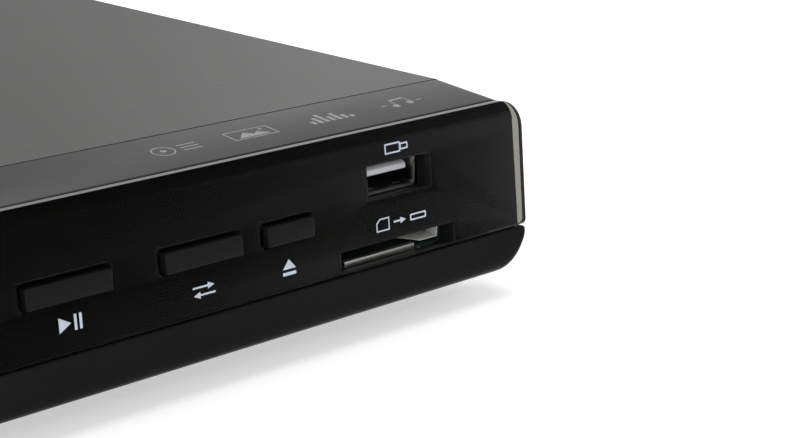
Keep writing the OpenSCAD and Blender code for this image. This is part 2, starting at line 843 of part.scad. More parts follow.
// Screws of the boards and the loader
module inner_screws() {
    color("gray") {
        for (p = main_posts)
            translate([p[0], p[1], main_z + board_t + head_t])
                screw(screw_r, head_r, 5);
        for (p = power_posts)
            translate([p[0], p[1], power_z + board_t + head_t])
                screw(screw_r, head_r, 5);
        for (p = loader_ears)
            translate([p[0], p[1], frame_z + frame_floor + head_t])
                screw(screw_r, head_r, 4);
        for (p = socket_posts)
            translate([p[0], p[1], socket_z + head_t])
                screw(screw_r, head_r, 4);
        for (p = front_posts)
            translate([p[0], board_y + board_t + head_t, p[1]])
                rotate([-90, 0, 0])
                    screw(screw_r - 0.4, head_r - 0.5, 6);
    }
}

// ---- Ports ----

module usb_shell() {
    ow = usb_w / 2 + shell_t;
    oh = usb_h / 2 + shell_t;
    color("silver")
        difference() {
            union() {
                block([usb_x - ow, usb_x + ow], [usb_front, board_y - 0.02], [usb_z - oh, usb_z + oh]);
                for (s = [-1, 1])
                    block([usb_x - 2.5, usb_x + 2.5], [usb_front + 1.5, usb_front + 2.5],
                        [usb_z + s * (oh + 0.2) - 0.2, usb_z + s * (oh + 0.2) + 0.2]);
            }
            block([usb_x - ow + shell_t, usb_x + ow - shell_t], [usb_front - 1, board_y - shell_t],
                [usb_z - oh + shell_t, usb_z + oh - shell_t]);
            block([usb_x - tongue_w / 2, usb_x + tongue_w / 2], [board_y - 1, board_y + 1],
                [tongue_z, tongue_z + tongue_t]);
        }
}

module usb_tongue() {
    front = usb_front + 0.9;
    color([0.82, 0.83, 0.84])
        along_x([usb_x - tongue_w / 2, usb_x + tongue_w / 2])
            polygon([
                [board_y, tongue_z], [front + 0.5, tongue_z], [front, tongue_z + 0.5],
                [front, tongue_z + tongue_t - 0.3], [front + 0.3, tongue_z + tongue_t],
                [board_y, tongue_z + tongue_t]
            ]);
}

module card_socket() {
    w = card_w / 2 + 1.2;
    floor_t = 0.75;
    top = socket_z + floor_t + card_h + shell_t;
    color([0.55, 0.55, 0.54])
        difference() {
            block([card_x - w, card_x + w], [socket_front, socket_rear],
                [socket_z, min(top, front_board_z[0] - 0.2)]);
            block([card_x - card_w / 2, card_x + card_w / 2], [socket_front - 1, socket_rear - 1],
                [socket_z + floor_t, socket_z + floor_t + card_h]);
        }
}

// ---- Loader ----

module loader_frame() {
    top = tray_z + tray_h + 0.6;
    rail = [tray_z - runner_play, tray_z + runner_h + runner_play];
    window_x = lift_x + 1;
    floor_z = [frame_z, frame_z + frame_floor];
    color([0.16, 0.16, 0.17])
        difference() {
            union() {
                translate([load_x, 0, 0]) {
                    block([-frame_x, frame_x], [frame_front, frame_rear], floor_z);
                    for (s = [-1, 1]) {
                        block([min(s * wall_in, s * frame_x), max(s * wall_in, s * frame_x)],
                            [frame_front, frame_rear], [frame_z, top]);
                        block([min(s * wall_in, s * frame_x), max(s * wall_in, s * frame_x)],
                            [disc_y - 18, disc_y + 18], [frame_z, bridge_z]);
                    }
                    both_sides(window_x + 4.25)
                        block([-3.75, 3.75], [pivot_y - 5, pivot_y + 5], [frame_z, pivot_z + 5]);
                    block([-frame_x, frame_x], [frame_front, frame_front + 2], [frame_z, tray_z - 4]);
                    block([-frame_x, frame_x], [frame_rear - 2, frame_rear], [frame_z, top]);
                    // Guides of the slider
                    block([-36, 40], [cam_y - 1.6, cam_y - 0.3], [frame_z, cam_z + 0.9]);
                }
                for (p = loader_ears)
                    block([p[0] - 5.5, p[0] + 5.5], [p[1] - 5, p[1] + 5], floor_z);
                // Deck that the drive motor hangs from
                block([motor_x - 14, motor_x + 14], [frame_front, drive_y + 14], deck_z);
                block([motor_x - 14, motor_x - 12.6], [frame_front, drive_y + 14], [frame_z, deck_z[1]]);
                block([motor_x + 12.6, motor_x + 14], [frame_front, drive_y + 14], [frame_z, deck_z[1]]);
                post(drive_x, drive_y, [frame_z, belt_z + 1.8], axle_r);
                post(pulley_x, drive_y, [frame_z, belt_z + 1.8], axle_r);
                post(drive_x, drive_y, [frame_z, wheel_z - 0.2], axle_r + 2);
                post(pulley_x, drive_y, [frame_z, wheel_z - 0.2], axle_r + 2);
            }
            // Window over the optical unit
            translate([load_x, 0, 0])
                block([-window_x, window_x], [lift_front - 0.8, lift_rear + 1],
                    [frame_z - 1, frame_z + frame_floor + 0.1]);
            post(motor_x, drive_y, [frame_z - 1, frame_z + frame_floor + 1], motor_r + 0.4);
            post(motor_x, drive_y, [deck_z[0] - 1, deck_z[1] + 1], 3.2);
            // Grooves for the tray's runners
            both_sides_of(load_x)
                block([wall_in - 1, tray_w / 2 + runner_w + runner_play],
                    [frame_front - 1, frame_rear - 2], rail);
            for (p = loader_ears)
                post(p[0], p[1], [frame_z - 1, frame_z + frame_floor + 1], screw_r + 0.15);
            translate([load_x, 0, 0])
                bar_x([-frame_x - 1, frame_x + 1], pivot_y, pivot_z, pivot_r + run_gap);
            for (p = bridge_screws)
                post(p[0], p[1], [bridge_z - 8, bridge_z + 1], screw_r);
        }
}

module both_sides_of(x) {
    translate([x, 0, 0])
        children();
    translate([x, 0, 0])
        mirror([1, 0, 0])
            children();
}

module tray() {
    rear = disc_y + tray_rear;
    hx = tray_w / 2;
    color([0.14, 0.14, 0.15])
        difference() {
            union() {
                translate([load_x, 0, 0]) {
                    block([-hx, hx], [tray_front, rear], [tray_z, tray_z + tray_h]);
                    block([-hx - runner_w, hx + runner_w], [tray_front + 6, rear],
                        [tray_z, tray_z + runner_h]);
                }
                rack_teeth_bar(rack_m, rack_x, -1, [drive_y - 8, drive_y + tray_travel + 8],
                    [rack_z, tray_z + 1], 4, drive_y + PI * rack_m / 2);
            }
            post(load_x, disc_y, [well_z, tray_z + tray_h + 1], well_r);
            post(load_x, disc_y, [small_well_z, tray_z + tray_h + 1], small_well_r);
            post(load_x, disc_y, [rack_z - 1, tray_z + tray_h + 1], tray_slot);
            translate([load_x, 0, 0])
                block([-tray_slot, tray_slot], [disc_y, rear + 1], [rack_z - 1, tray_z + tray_h + 1]);
            // Finger scoops at the sides of the disc
            both_sides_of(load_x)
                post(hx - 2, disc_y, [well_z + 0.4, tray_z + tray_h + 1], 14);
            // Hollow underside outside the disc's well
            difference() {
                translate([load_x, 0, 0])
                    block([-hx + 2, hx - 2], [tray_front + 2, rear - 2],
                        [tray_z - 0.01, tray_z + tray_h - 2]);
                post(load_x, disc_y, [tray_z - 1, tray_z + tray_h], well_r + 2);
                block([rack_x - 2, rack_x + 5], [tray_front, rear], [tray_z - 1, tray_z + 3]);
                translate([load_x, 0, 0])
                    block([-tray_slot - 2, tray_slot + 2], [disc_y, rear], [tray_z - 1, tray_z + tray_h]);
            }
        }
}

module tray_door() {
    inner_w = door_w - 8;
    color([0.1, 0.1, 0.105]) {
        on_front([0, 3])
            front_rect(load_x, door_w, door_v, door_h);
        for (s = [-1, 0, 1])
            block([load_x + s * inner_w * 0.42 - 5, load_x + s * inner_w * 0.42 + 5],
                [lp(2, door_v + door_h / 2)[0], tray_front], [tray_z, tray_z + tray_h]);
    }
}

module loading_motor() {
    color("silver")
        difference() {
            union() {
                post(motor_x, drive_y, [deck_z[0] - 12, deck_z[0]], motor_r);
                post(motor_x, drive_y, [deck_z[0], deck_z[0] + 1.2], 3);
            }
            post(motor_x, drive_y, [deck_z[0] - 3.4, deck_z[0] + 2], 1 + run_gap);
        }
}

// A grooved pulley round the axis, its belt line at r
module pulley_wheel(r, z, bore) {
    t = 2.8;
    rim = r + belt_t;
    translate([0, 0, z - t / 2])
        rotate_extrude()
            polygon([
                [bore, 0], [rim, 0], [rim, 0.5], [r - 0.02, 0.75], [r - 0.02, t - 0.75],
                [rim, t - 0.5], [rim, t], [bore, t]
            ]);
}

module motor_pulley() {
    color([0.85, 0.85, 0.8])
        translate([motor_x, drive_y, 0]) {
            pulley_wheel(motor_pulley_r, belt_z, 0.5);
            translate([0, 0, deck_z[0] - 2.9])
                cylinder(r = 1, h = belt_z + 3.9 - deck_z[0]);
        }
}

// Outline of a loop round two pulleys: two arcs and their outer tangents
function loop_points(ra, rb, d, steps = 16) =
    let (a = acos((ra - rb) / d))
    concat(
        [for (i = [0:steps]) polar(ra, a + (360 - 2 * a) * i / steps)],
        [for (i = [0:steps]) [d, 0] + polar(rb, -a + 2 * a * i / steps)]
    );

module drive_belt() {
    d = pulley_x - motor_x;
    color([0.08, 0.08, 0.08])
        translate([motor_x, drive_y, belt_z - belt_t / 2])
            linear_extrude(belt_t)
                difference() {
                    polygon(loop_points(motor_pulley_r + belt_t, pulley_r + belt_t, d));
                    polygon(loop_points(motor_pulley_r + belt_play, pulley_r + belt_play, d));
                }
}

module pulley_gear() {
    color([0.9, 0.88, 0.8])
        translate([pulley_x, drive_y, 0])
            difference() {
                union() {
                    gear(fine_m, pulley_teeth, [wheel_z, wheel_z + wheel_t + 0.4], 180 / pulley_teeth);
                    translate([0, 0, wheel_z + wheel_t])
                        cylinder(r = 3.6, h = belt_z - wheel_z - wheel_t);
                    pulley_wheel(pulley_r, belt_z, 0);
                }
                translate([0, 0, wheel_z - 1])
                    cylinder(r = axle_r + run_gap, h = 20);
            }
}

module drive_gear() {
    color([0.92, 0.9, 0.82])
        translate([drive_x, drive_y, 0])
            difference() {
                union() {
                    gear(fine_m, wheel_teeth, [wheel_z, wheel_z + wheel_t]);
                    translate([0, 0, wheel_z + wheel_t])
                        cylinder(r = 5, h = rack_z - wheel_z - wheel_t);
                    gear(rack_m, rack_teeth, [rack_z - 0.8, tray_z - 0.6]);
                }
                translate([0, 0, wheel_z - 1])
                    cylinder(r = axle_r + run_gap, h = 20);
            }
}

// Slider with two sloping slots that raise and lower the optical unit's front
module cam_slider() {
    slot_w = pin_r + 0.2;
    angle = atan(cam_drop / cam_travel);
    run = cam_travel / cos(angle);
    color([0.9, 0.88, 0.8])
        difference() {
            translate([load_x, 0, 0])
                block([-34, 26], [cam_y, cam_y + cam_t], [cam_z, pin_z + slot_w + 1.6]);
            // Relative to the slider a pin runs left and down as the slider moves right
            for (s = [-1, 1])
                translate([load_x + s * pin_x, cam_y - 1, pin_z])
                    rotate([0, -angle, 0]) {
                        translate([-run - 0.3, 0, -slot_w])
                            cube([run + 0.6, cam_t + 2, 2 * slot_w]);
                        for (x = [-run - 0.3, 0.3])
                            translate([x, 0, 0])
                                rotate([-90, 0, 0])
                                    cylinder(r = slot_w, h = cam_t + 2);
                    }
        }
}

module clamp_bridge() {
    color("silver")
        difference() {
            union() {
                translate([load_x, 0, 0])
                    block([-frame_x, frame_x], [disc_y - 18, disc_y + 18], [bridge_z, bridge_z + bridge_t]);
                for (p = bridge_screws)
                    translate([p[0], p[1], bridge_z + bridge_t + 1.2])
                        screw(screw_r - run_gap, 2.3, 6, 1.2);
            }
            post(load_x, disc_y, [bridge_z - 1, bridge_z + 3], puck_r + 1.5);
        }
}

module clamp_puck() {
    bottom = disc_z + puck_gap;
    flange = bridge_z + bridge_t + 0.4;
    color([0.85, 0.85, 0.83])
        difference() {
            union() {
                post(load_x, disc_y, [bottom, flange + 0.5], puck_r);
                post(load_x, disc_y, [flange, flange + 1.2], puck_r + 4.5);
            }
            post(load_x, disc_y, [bottom - 1, bottom + 2.2], hub_r + 0.7);
            post(load_x, disc_y, [bottom + 3, bottom + 6], 9);
        }
}

module puck_magnet() {
    bottom = disc_z + puck_gap;
    color("dimgray")
        post(load_x, disc_y, [bottom + 3, bottom + 5.8], 8.9);
}

// ---- Optical unit ----

module lift_frame() {
    color([0.2, 0.2, 0.21])
        translate([load_x, 0, 0])
            union() {
                difference() {
                    block([-lift_x, lift_x], [lift_front, lift_rear], [lift_z, lift_z + lift_t]);
                    block([-lift_in, lift_in], [lift_front + 4, pivot_y - 6],
                        [lift_z - 1, lift_z + lift_t + 1]);
                }
                block([-pin_x - 5, pin_x + 5], [lift_front, lift_front + 2.5], [lift_z, pin_z + 2]);
                for (s = [-1, 1])
                    bar_y(s * pin_x, [cam_y - 0.5, lift_front + 1], pin_z, pin_r);
                bar_x([-lift_x - 5, lift_x + 5], pivot_y, pivot_z, pivot_r);
                for (s = [-1, 1], y = damper_y)
                    post(s * damper_x, y, [lift_z, lift_z + lift_t + 4.6], 1.6);
            }
}

module dampers() {
    z = lift_z + lift_t;
    color([0.1, 0.12, 0.3])
        for (s = [-1, 1], y = damper_y)
            translate([load_x + s * damper_x, y, z])
                rotate_extrude()
                    polygon([
                        [1.65, 0], [damper_r, 0], [damper_r, plate_z - z - 0.02], [3, plate_z - z - 0.02],
                        [3, plate_z - z + plate_t + 0.02], [damper_r, plate_z - z + plate_t + 0.02],
                        [damper_r, 4], [1.65, 4]
                    ]);
}

module traverse_plate() {
    ears = damper_x + 4.4;
    color("silver")
        difference() {
            union() {
                translate([load_x, 0, 0]) {
                    block([-ears, ears], [damper_y[0] - 5, damper_y[1] + 5], [plate_z, plate_z + plate_t]);
                    for (s = [-1, 1], y = [disc_y + 13.5, disc_y + 75])
                        block([s * rod_x - 3, s * rod_x + 3], [y, y + 2.5], [plate_z, rod_z + rod_r + 0.9]);
                }
                post(sled_gear_x, sled_gear_y, [plate_z, tray_z - 1.5], 1.2);
            }
            translate([load_x, 0, 0]) {
                block([-18.6, 18.6], [sled_front - 1, sled_front + sled_len + sled_travel + 1],
                    [plate_z - 1, plate_z + 2]);
                for (s = [-1, 1])
                    bar_y(s * rod_x, [disc_y + 12, disc_y + 78], rod_z, rod_r + 0.02);
                for (s = [-1, 1], y = damper_y)
                    post(s * damper_x, y, [plate_z - 1, plate_z + 2], 3.1);
            }
            post(load_x, disc_y, [plate_z - 1, plate_z + 2], 5);
            post(sled_gear_x, sled_motor_y, [plate_z - 1, plate_z + 2], 2.6);
        }
}

module spindle_motor() {
    color([0.3, 0.3, 0.32])
        difference() {
            union() {
                post(load_x, disc_y, [spindle_z, plate_z], 12.5);
                post(load_x, disc_y, [plate_z, plate_z + plate_t + 0.2], 4.8);
            }
            post(load_x, disc_y, [spindle_z + 1.6, plate_z + 3], shaft_r + run_gap);
        }
}

module turntable() {
    color([0.25, 0.25, 0.26])
        translate([load_x, disc_y, 0])
            rotate_extrude()
                polygon([
                    [0, spindle_z + 2], [shaft_r, spindle_z + 2], [shaft_r, plate_z + 1.6],
                    [11, plate_z + 1.6], [11, 22.5], [7, 23], [7, 26.6],
                    [table_r, 27.2], [table_r, disc_z], [hub_r, disc_z], [hub_r, disc_z + 0.9],
                    [hub_r - 1.6, disc_z + 1.8], [0, disc_z + 1.8]
                ]);
}

module guide_rods() {
    color("lightgray")
        for (s = [-1, 1])
            bar_y(load_x + s * rod_x, [disc_y + 13, disc_y + 78], rod_z, rod_r);
}

module pickup_sled() {
    top = tray_z - 1.2;
    y = [sled_front, sled_front + sled_len];
    color([0.45, 0.45, 0.47])
        difference() {
            union() {
                translate([load_x, 0, 0]) {
                    block([-18, 18], y, [12.6, plate_z + plate_t + 0.6]);
                    block([-rod_x - 3, rod_x + 3], y, [plate_z + plate_t + 0.4, top]);
                    block([rod_x, 29.4], y, [rack_low, top]);
                }
                rack_teeth_bar(fine_m, sled_rack_x, 1, [sled_gear_y - sled_travel - 3.5, sled_gear_y + 3.5],
                    [rack_low, top], 3, sled_gear_y);
            }
            translate([load_x, 0, 0])
                for (s = [-1, 1])
                    bar_y(s * rod_x, [y[0] - 1, y[1] + 1], rod_z, rod_r + run_gap);
            // Well of the objective
            translate([load_x, 0, 0])
                block([-holder_x - 0.4, holder_x + 0.4], [read_y - holder_y - 0.4, read_y + holder_y + 0.4],
                    [holder_z - 1.2, top + 1]);
        }
}

module lens_holder() {
    color([0.1, 0.1, 0.1])
        difference() {
            translate([load_x, 0, 0])
                block([-holder_x, holder_x], [read_y - holder_y, read_y + holder_y],
                    [holder_z, tray_z + 1.6]);
            post(load_x, read_y, [holder_z - 1, tray_z + 3], 2.6);
        }
}

module objective_lens() {
    color([0.6, 0.7, 0.9, 0.6])
        translate([load_x, read_y, tray_z - 0.2])
            rotate_extrude()
                polygon([[0, 0], [2.58, 0.4], [2.58, 1.2], [1.9, 1.7], [1, 2], [0, 2.1]]);
}

module sled_motor() {
    color("silver")
        difference() {
            union() {
                post(sled_gear_x, sled_motor_y, [9.6, plate_z], sled_motor_r);
                post(sled_gear_x, sled_motor_y, [plate_z, plate_z + plate_t + 0.1], 2.4);
            }
            post(sled_gear_x, sled_motor_y, [13, plate_z + 3], 0.75 + run_gap);
        }
}

module sled_pinion() {
    color([0.9, 0.88, 0.8])
        translate([sled_gear_x, sled_motor_y, 0]) {
            gear(fine_m, sled_pinion_teeth, [plate_z + plate_t + 0.4, rack_low - 0.3]);
            translate([0, 0, 13.5])
                cylinder(r = 0.75, h = 6);
        }
}

module sled_gear() {
    color([0.9, 0.88, 0.8])
        translate([sled_gear_x, sled_gear_y, 0])
            difference() {
                union() {
                    gear(fine_m, sled_wheel_teeth, [plate_z + plate_t + 0.4, rack_low - 0.3]);
                    gear(fine_m, sled_teeth, [rack_low - 0.4, tray_z - 1.4]);
                }
                translate([0, 0, 15])
                    cylinder(r = 1.2 + run_gap, h = 12);
            }
}

// ---- Boards and rear ----

module main_board() {
    color([0.08, 0.32, 0.18])
        difference() {
            block([main_x, main_x + main_w], [main_front, board_rear], [main_z, main_z + board_t]);
            for (p = main_posts)
                post(p[0], p[1], [main_z - 1, main_z + 4], screw_r + 0.1);
        }
}

// A block whose place is counted from the main board's front left corner
module on_main(x, y, z) {
    translate([main_x, main_front, 0])
        block(x, y, z);
}

// A block whose place is counted from the power board's front left corner
module on_power(x, y, z) {
    translate([power_x, main_front, 0])
        block(x, y, z);
}

module board_chips() {
    z = main_z + board_t;
    color([0.12, 0.12, 0.12]) {
        on_main([24, 48], [56, 80], [z, z + 1.8]);
        on_main([54, 65], [58, 79], [z, z + 1.2]);
        on_main([10, 18], [62, 74], [z, z + 1.2]);
        on_main([20, 32], [24, 32], [z, z + 2]);
        on_main([30, 40], [110, 118], [z, z + 1.6]);
    }
}

// Pin headers of the boards
module board_connectors() {
    z = main_z + board_t;
    color([0.88, 0.86, 0.8]) {
        on_main([1, 6], [40, 68], [z, z + 6]);
        on_main([18, 46], [1, 6], [z, z + 5]);
        on_main([main_w - 6, main_w - 1], [82, 102], [z, z + 6]);
        on_power([1, 6], [82, 102], [power_z + board_t, z + 6]);
    }
}

module power_board() {
    color([0.5, 0.42, 0.25])
        difference() {
            block([power_x, power_x + power_w], [main_front, board_rear], [power_z, power_z + board_t]);
            for (p = power_posts)
                post(p[0], p[1], [power_z - 1, power_z + 4], screw_r + 0.1);
        }
}

module transformer() {
    x = (power_w - 13) / 2 + 4;
    z = power_z + board_t;
    color([0.75, 0.7, 0.3]) {
        on_power([x - 14, x + 14], [64, 92], [z, z + 3]);
        on_power([x - 9, x + 9], [67, 89], [z + 3, z + 19]);
        for (u = [[z + 4, z + 8], [z + 14, z + 22]])
            on_power([x - 15, x + 15], [72, 84], u);
        for (u = [[x - 15, x - 10], [x + 10, x + 15]])
            on_power(u, [72, 84], [z + 3.5, z + 22]);
    }
}

module power_capacitors() {
    z = power_z + board_t;
    zm = main_z + board_t;
    color([0.1, 0.1, 0.2]) {
        // Place across and along, radius and height of each can
        for (c = [
            [power_w - 20, 114, 8, 24], [power_w * 0.26, 50, 5, 16], [power_w * 0.47, 48, 5, 16],
            [power_w * 0.68, 48, 4, 14], [power_w * 0.29, 26, 4, 12], [power_w * 0.47, 26, 4, 12]
        ])
            post(power_x + c[0], main_front + c[1], [z, z + c[3]], c[2]);
        post(main_x + 60, main_front + 32, [zm, zm + 11], 4);
        post(main_x + 14, main_front + 122, [zm, zm + 8], 3);
    }
}

module heat_sink() {
    x = power_w - 11;
    z = [power_z + board_t, power_z + board_t + 20];
    color("lightgray") {
        on_power([x - 1, x + 1], [62, 98], z);
        for (i = [0:4])
            on_power([x, x + 9], [64 + i * 7.5, 65.6 + i * 7.5], z);
    }
}

// Flat cables between the boards, folded down onto their connectors
module flat_cable(x, y, z, drop) {
    t = 0.4;
    block(x, y, [z, z + t]);
    for (d = drop)
        block([d[0], d[0] + t], y, [d[1], z + t]);
}

module ribbon_cables() {
    z = main_z + board_t + 6;
    color([0.85, 0.85, 0.88]) {
        // Main board to power board
        flat_cable([main_x + main_w - 4, power_x + 4], [main_front + 84, main_front + 100], z + 3,
            [[main_x + main_w - 4, z], [power_x + 3.6, z]]);
        // Main board to loader, over the loader's side wall
        flat_cable([load_x + frame_x - 3, main_x + 4], [main_front + 42, main_front + 66],
            tray_z + tray_h + 5, [[main_x + 3.6, z], [load_x + frame_x - 3, tray_z + tray_h + 0.6]]);
        // Main board to front board
        block([main_x + 22, main_x + 42], [board_y + board_t, main_front + 4], [25, 25.4]);
        block([main_x + 22, main_x + 42], [main_front + 3.6, main_front + 4], [main_z + board_t + 5, 25.4]);
    }
}

module each_jack() {
    for (i = [0:2], z = [jack_low, jack_high])
        translate([jack_x + i * jack_pitch, 0, z])
            children();
    translate([jack_x + 3 * jack_pitch, 0, jack_low])
        children();
}

module jack_block() {
    front = rear_y - sheet_t - 12;
    low = [jack_low - 6.5, jack_low + 6];
    far = jack_x + 3 * jack_pitch + 6;
    color([0.1, 0.1, 0.1])
        difference() {
            union() {
                block([jack_x - 6, far - jack_pitch], [board_rear, rear_y - sheet_t],
                    [low[0], jack_high + 6]);
                block([jack_x - 6, far], [board_rear, rear_y - sheet_t], low);
                block([jack_x - 6, far], [front, board_rear], [main_z + board_t, main_z + board_t + 8]);
            }
            each_jack() {
                bar_y(0, [rear_y - 3, rear_y], 0, jack_r + 0.02);
                bar_y(0, [rear_y - 5.5, rear_y], 0, contact_r + 0.3);
            }
        }
}

module jack_sleeves() {
    color("gold")
        each_jack()
            difference() {
                union() {
                    bar_y(0, [rear_y, case_d / 2], 0, jack_r);
                    bar_y(0, [rear_y - 2.9, rear_y], 0, jack_r - 0.2);
                }
                bar_y(0, [rear_y - 4, case_d / 2 + 1], 0, jack_r - jack_wall);
            }
}

// Insulators inside the sleeves, with the centre contacts' holes
module jack_insulators() {
    color([0.8, 0.8, 0.78])
        each_jack()
            difference() {
                bar_y(0, [rear_y - 2.95, case_d / 2 - 0.3], 0, jack_r - jack_wall - 0.02);
                bar_y(0, [rear_y - 4, case_d / 2 + 1], 0, contact_r);
            }
}

// Two-pole mains inlet: a socket with two pins side by side
module ac_inlet() {
    y = [rear_y - 16, rear_y + 1.5];
    color([0.07, 0.07, 0.07])
        difference() {
            union() {
                block([inlet_x - 10, inlet_x + 10], [y[0], rear_y - sheet_t],
                    [power_z + board_t, inlet_z + 6]);
                block([inlet_x - 10, inlet_x + 10], [y[0], rear_y + 1], [inlet_z - 6, inlet_z + 6]);
                block([inlet_x - 12.5, inlet_x + 12.5], [rear_y, y[1]], [inlet_z - 7.4, inlet_z + 7.4]);
            }
            for (s = [-1, 1])
                bar_y(inlet_x + s * 4.3, [rear_y - 10, rear_y + 3], inlet_z, 4.2);
            block([inlet_x - 4.3, inlet_x + 4.3], [rear_y - 10, rear_y + 3], [inlet_z - 3.3, inlet_z + 3.3]);
            for (s = [-1, 1])
                bar_y(inlet_x + s * 4.3, [y[0] - 1, rear_y], inlet_z, 1.22);
        }
}

module inlet_pins() {
    color("gold")
        for (s = [-1, 1])
            bar_y(inlet_x + s * 4.3, [rear_y - 17.5, rear_y - 1.5], inlet_z, 1.2);
}

chassis_base();
rear_panel();
top_cover();
front_bezel();
front_lens();
feet();
cover_screws();
button_play();
button_sound();
button_eject();
button_standby();
plunger_play();
plunger_sound();
plunger_eject();
plunger_standby();
front_boards();
tact_switches();
display();
ir_receiver();
inner_screws();
usb_shell();
usb_tongue();
card_socket();
loader_frame();
tray();
tray_door();
loading_motor();
motor_pulley();
drive_belt();
pulley_gear();
drive_gear();
cam_slider();
clamp_bridge();
clamp_puck();
puck_magnet();
lift_frame();
dampers();
traverse_plate();
spindle_motor();
turntable();
guide_rods();
pickup_sled();
lens_holder();
objective_lens();
sled_motor();
sled_pinion();
sled_gear();
main_board();
board_chips();
board_connectors();
power_board();
transformer();
power_capacitors();
heat_sink();
ribbon_cables();
jack_block();
jack_sleeves();
jack_insulators();
ac_inlet();
inlet_pins();
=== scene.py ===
import json
import math

import bmesh
import bpy
from mathutils import Matrix, Vector

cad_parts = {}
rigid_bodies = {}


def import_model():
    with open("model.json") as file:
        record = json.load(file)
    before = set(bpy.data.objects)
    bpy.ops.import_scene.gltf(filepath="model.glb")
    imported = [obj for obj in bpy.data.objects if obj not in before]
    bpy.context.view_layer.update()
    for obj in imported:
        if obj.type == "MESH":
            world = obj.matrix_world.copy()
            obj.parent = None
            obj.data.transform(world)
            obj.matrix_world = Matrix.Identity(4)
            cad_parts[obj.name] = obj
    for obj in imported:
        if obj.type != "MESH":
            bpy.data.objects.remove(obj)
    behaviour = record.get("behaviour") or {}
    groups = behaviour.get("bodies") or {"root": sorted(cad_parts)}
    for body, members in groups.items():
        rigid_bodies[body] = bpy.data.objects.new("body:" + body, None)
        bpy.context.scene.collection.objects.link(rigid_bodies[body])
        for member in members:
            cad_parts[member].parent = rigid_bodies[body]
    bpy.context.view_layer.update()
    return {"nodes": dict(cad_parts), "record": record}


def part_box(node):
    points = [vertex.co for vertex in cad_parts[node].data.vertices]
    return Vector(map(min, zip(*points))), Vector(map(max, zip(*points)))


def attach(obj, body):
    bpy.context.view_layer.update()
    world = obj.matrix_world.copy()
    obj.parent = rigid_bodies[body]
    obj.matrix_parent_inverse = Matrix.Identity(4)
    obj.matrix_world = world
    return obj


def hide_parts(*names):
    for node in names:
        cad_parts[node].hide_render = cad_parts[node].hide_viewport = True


for leftover in list(bpy.data.objects):  # Blender's start-up cube, if it is there
    bpy.data.objects.remove(leftover)
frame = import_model()
nodes = frame["nodes"]
print("frame loaded:", len(nodes), "nodes")

mm = 0.001  # shapes are drawn in millimetres; materials, lamps and the floor are in metres


def boxOf(node):  # a node's lowest and highest corners
    return [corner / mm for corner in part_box(node)]


def middleOf(node):  # its middle from left to right
    low, high = boxOf(node)
    return (low.x + high.x) / 2


def bodyOf(node):  # the body that it rides on
    bodies = frame["record"]["behaviour"]["bodies"]
    return [body for body, members in bodies.items() if node in members][0]


# ---- the front's reference line: v runs up the leaning face, u goes behind it ----
lean = math.radians(5)
sinLean = math.sin(lean)
cosLean = math.cos(lean)
lens = {"foot": 0.5, "height": 25.8, "thick": 2.0, "corner": 6.0, "footCorner": 1.0, "edge": 0.16}
lensLow, lensHigh = boxOf("front_lens")
halfW = lensHigh.x
lensTop = lens["foot"] + lens["height"]
refY = lensLow.y - lens["foot"] * sinLean
refZ = lensHigh.z - lensTop * cosLean
rimZ = lensHigh.z - 2  # the openings lie below it, the top edges of the front above


def onFront(x, v, u):
    return Vector((x, refY + v * sinLean + u * cosLean, refZ + v * cosLean - u * sinLean))


def side(v, u):  # the same point in the side view, as (y, z)
    spot = onFront(0, v, u)
    return (spot.y, spot.z)


def frontPlane(u, x=0):  # drawing plane (x, v) at depth u, its third axis towards the viewer
    y, z = side(0, u)
    return Matrix(((1, 0, 0, x),
                   (0, sinLean, -cosLean, y),
                   (0, cosLean, sinLean, z),
                   (0, 0, 0, 1)))


# ---- shader maths ----
class Value:  # a node's output that can be reckoned with
    def __init__(self, wires, socket):
        self.wires = wires
        self.socket = socket

    def __mul__(self, other):
        return self.wires.maths("MULTIPLY", self, other)

    def __rmul__(self, other):
        return self.wires.maths("MULTIPLY", other, self)

    def __truediv__(self, other):
        return self.wires.maths("DIVIDE", self, other)

    def __rtruediv__(self, other):
        return self.wires.maths("DIVIDE", other, self)

    def __abs__(self):
        return self.wires.maths("ABSOLUTE", self)

    def __gt__(self, other):
        return self.wires.maths("GREATER_THAN", self, other)

    def __lt__(self, other):
        return self.wires.maths("LESS_THAN", self, other)


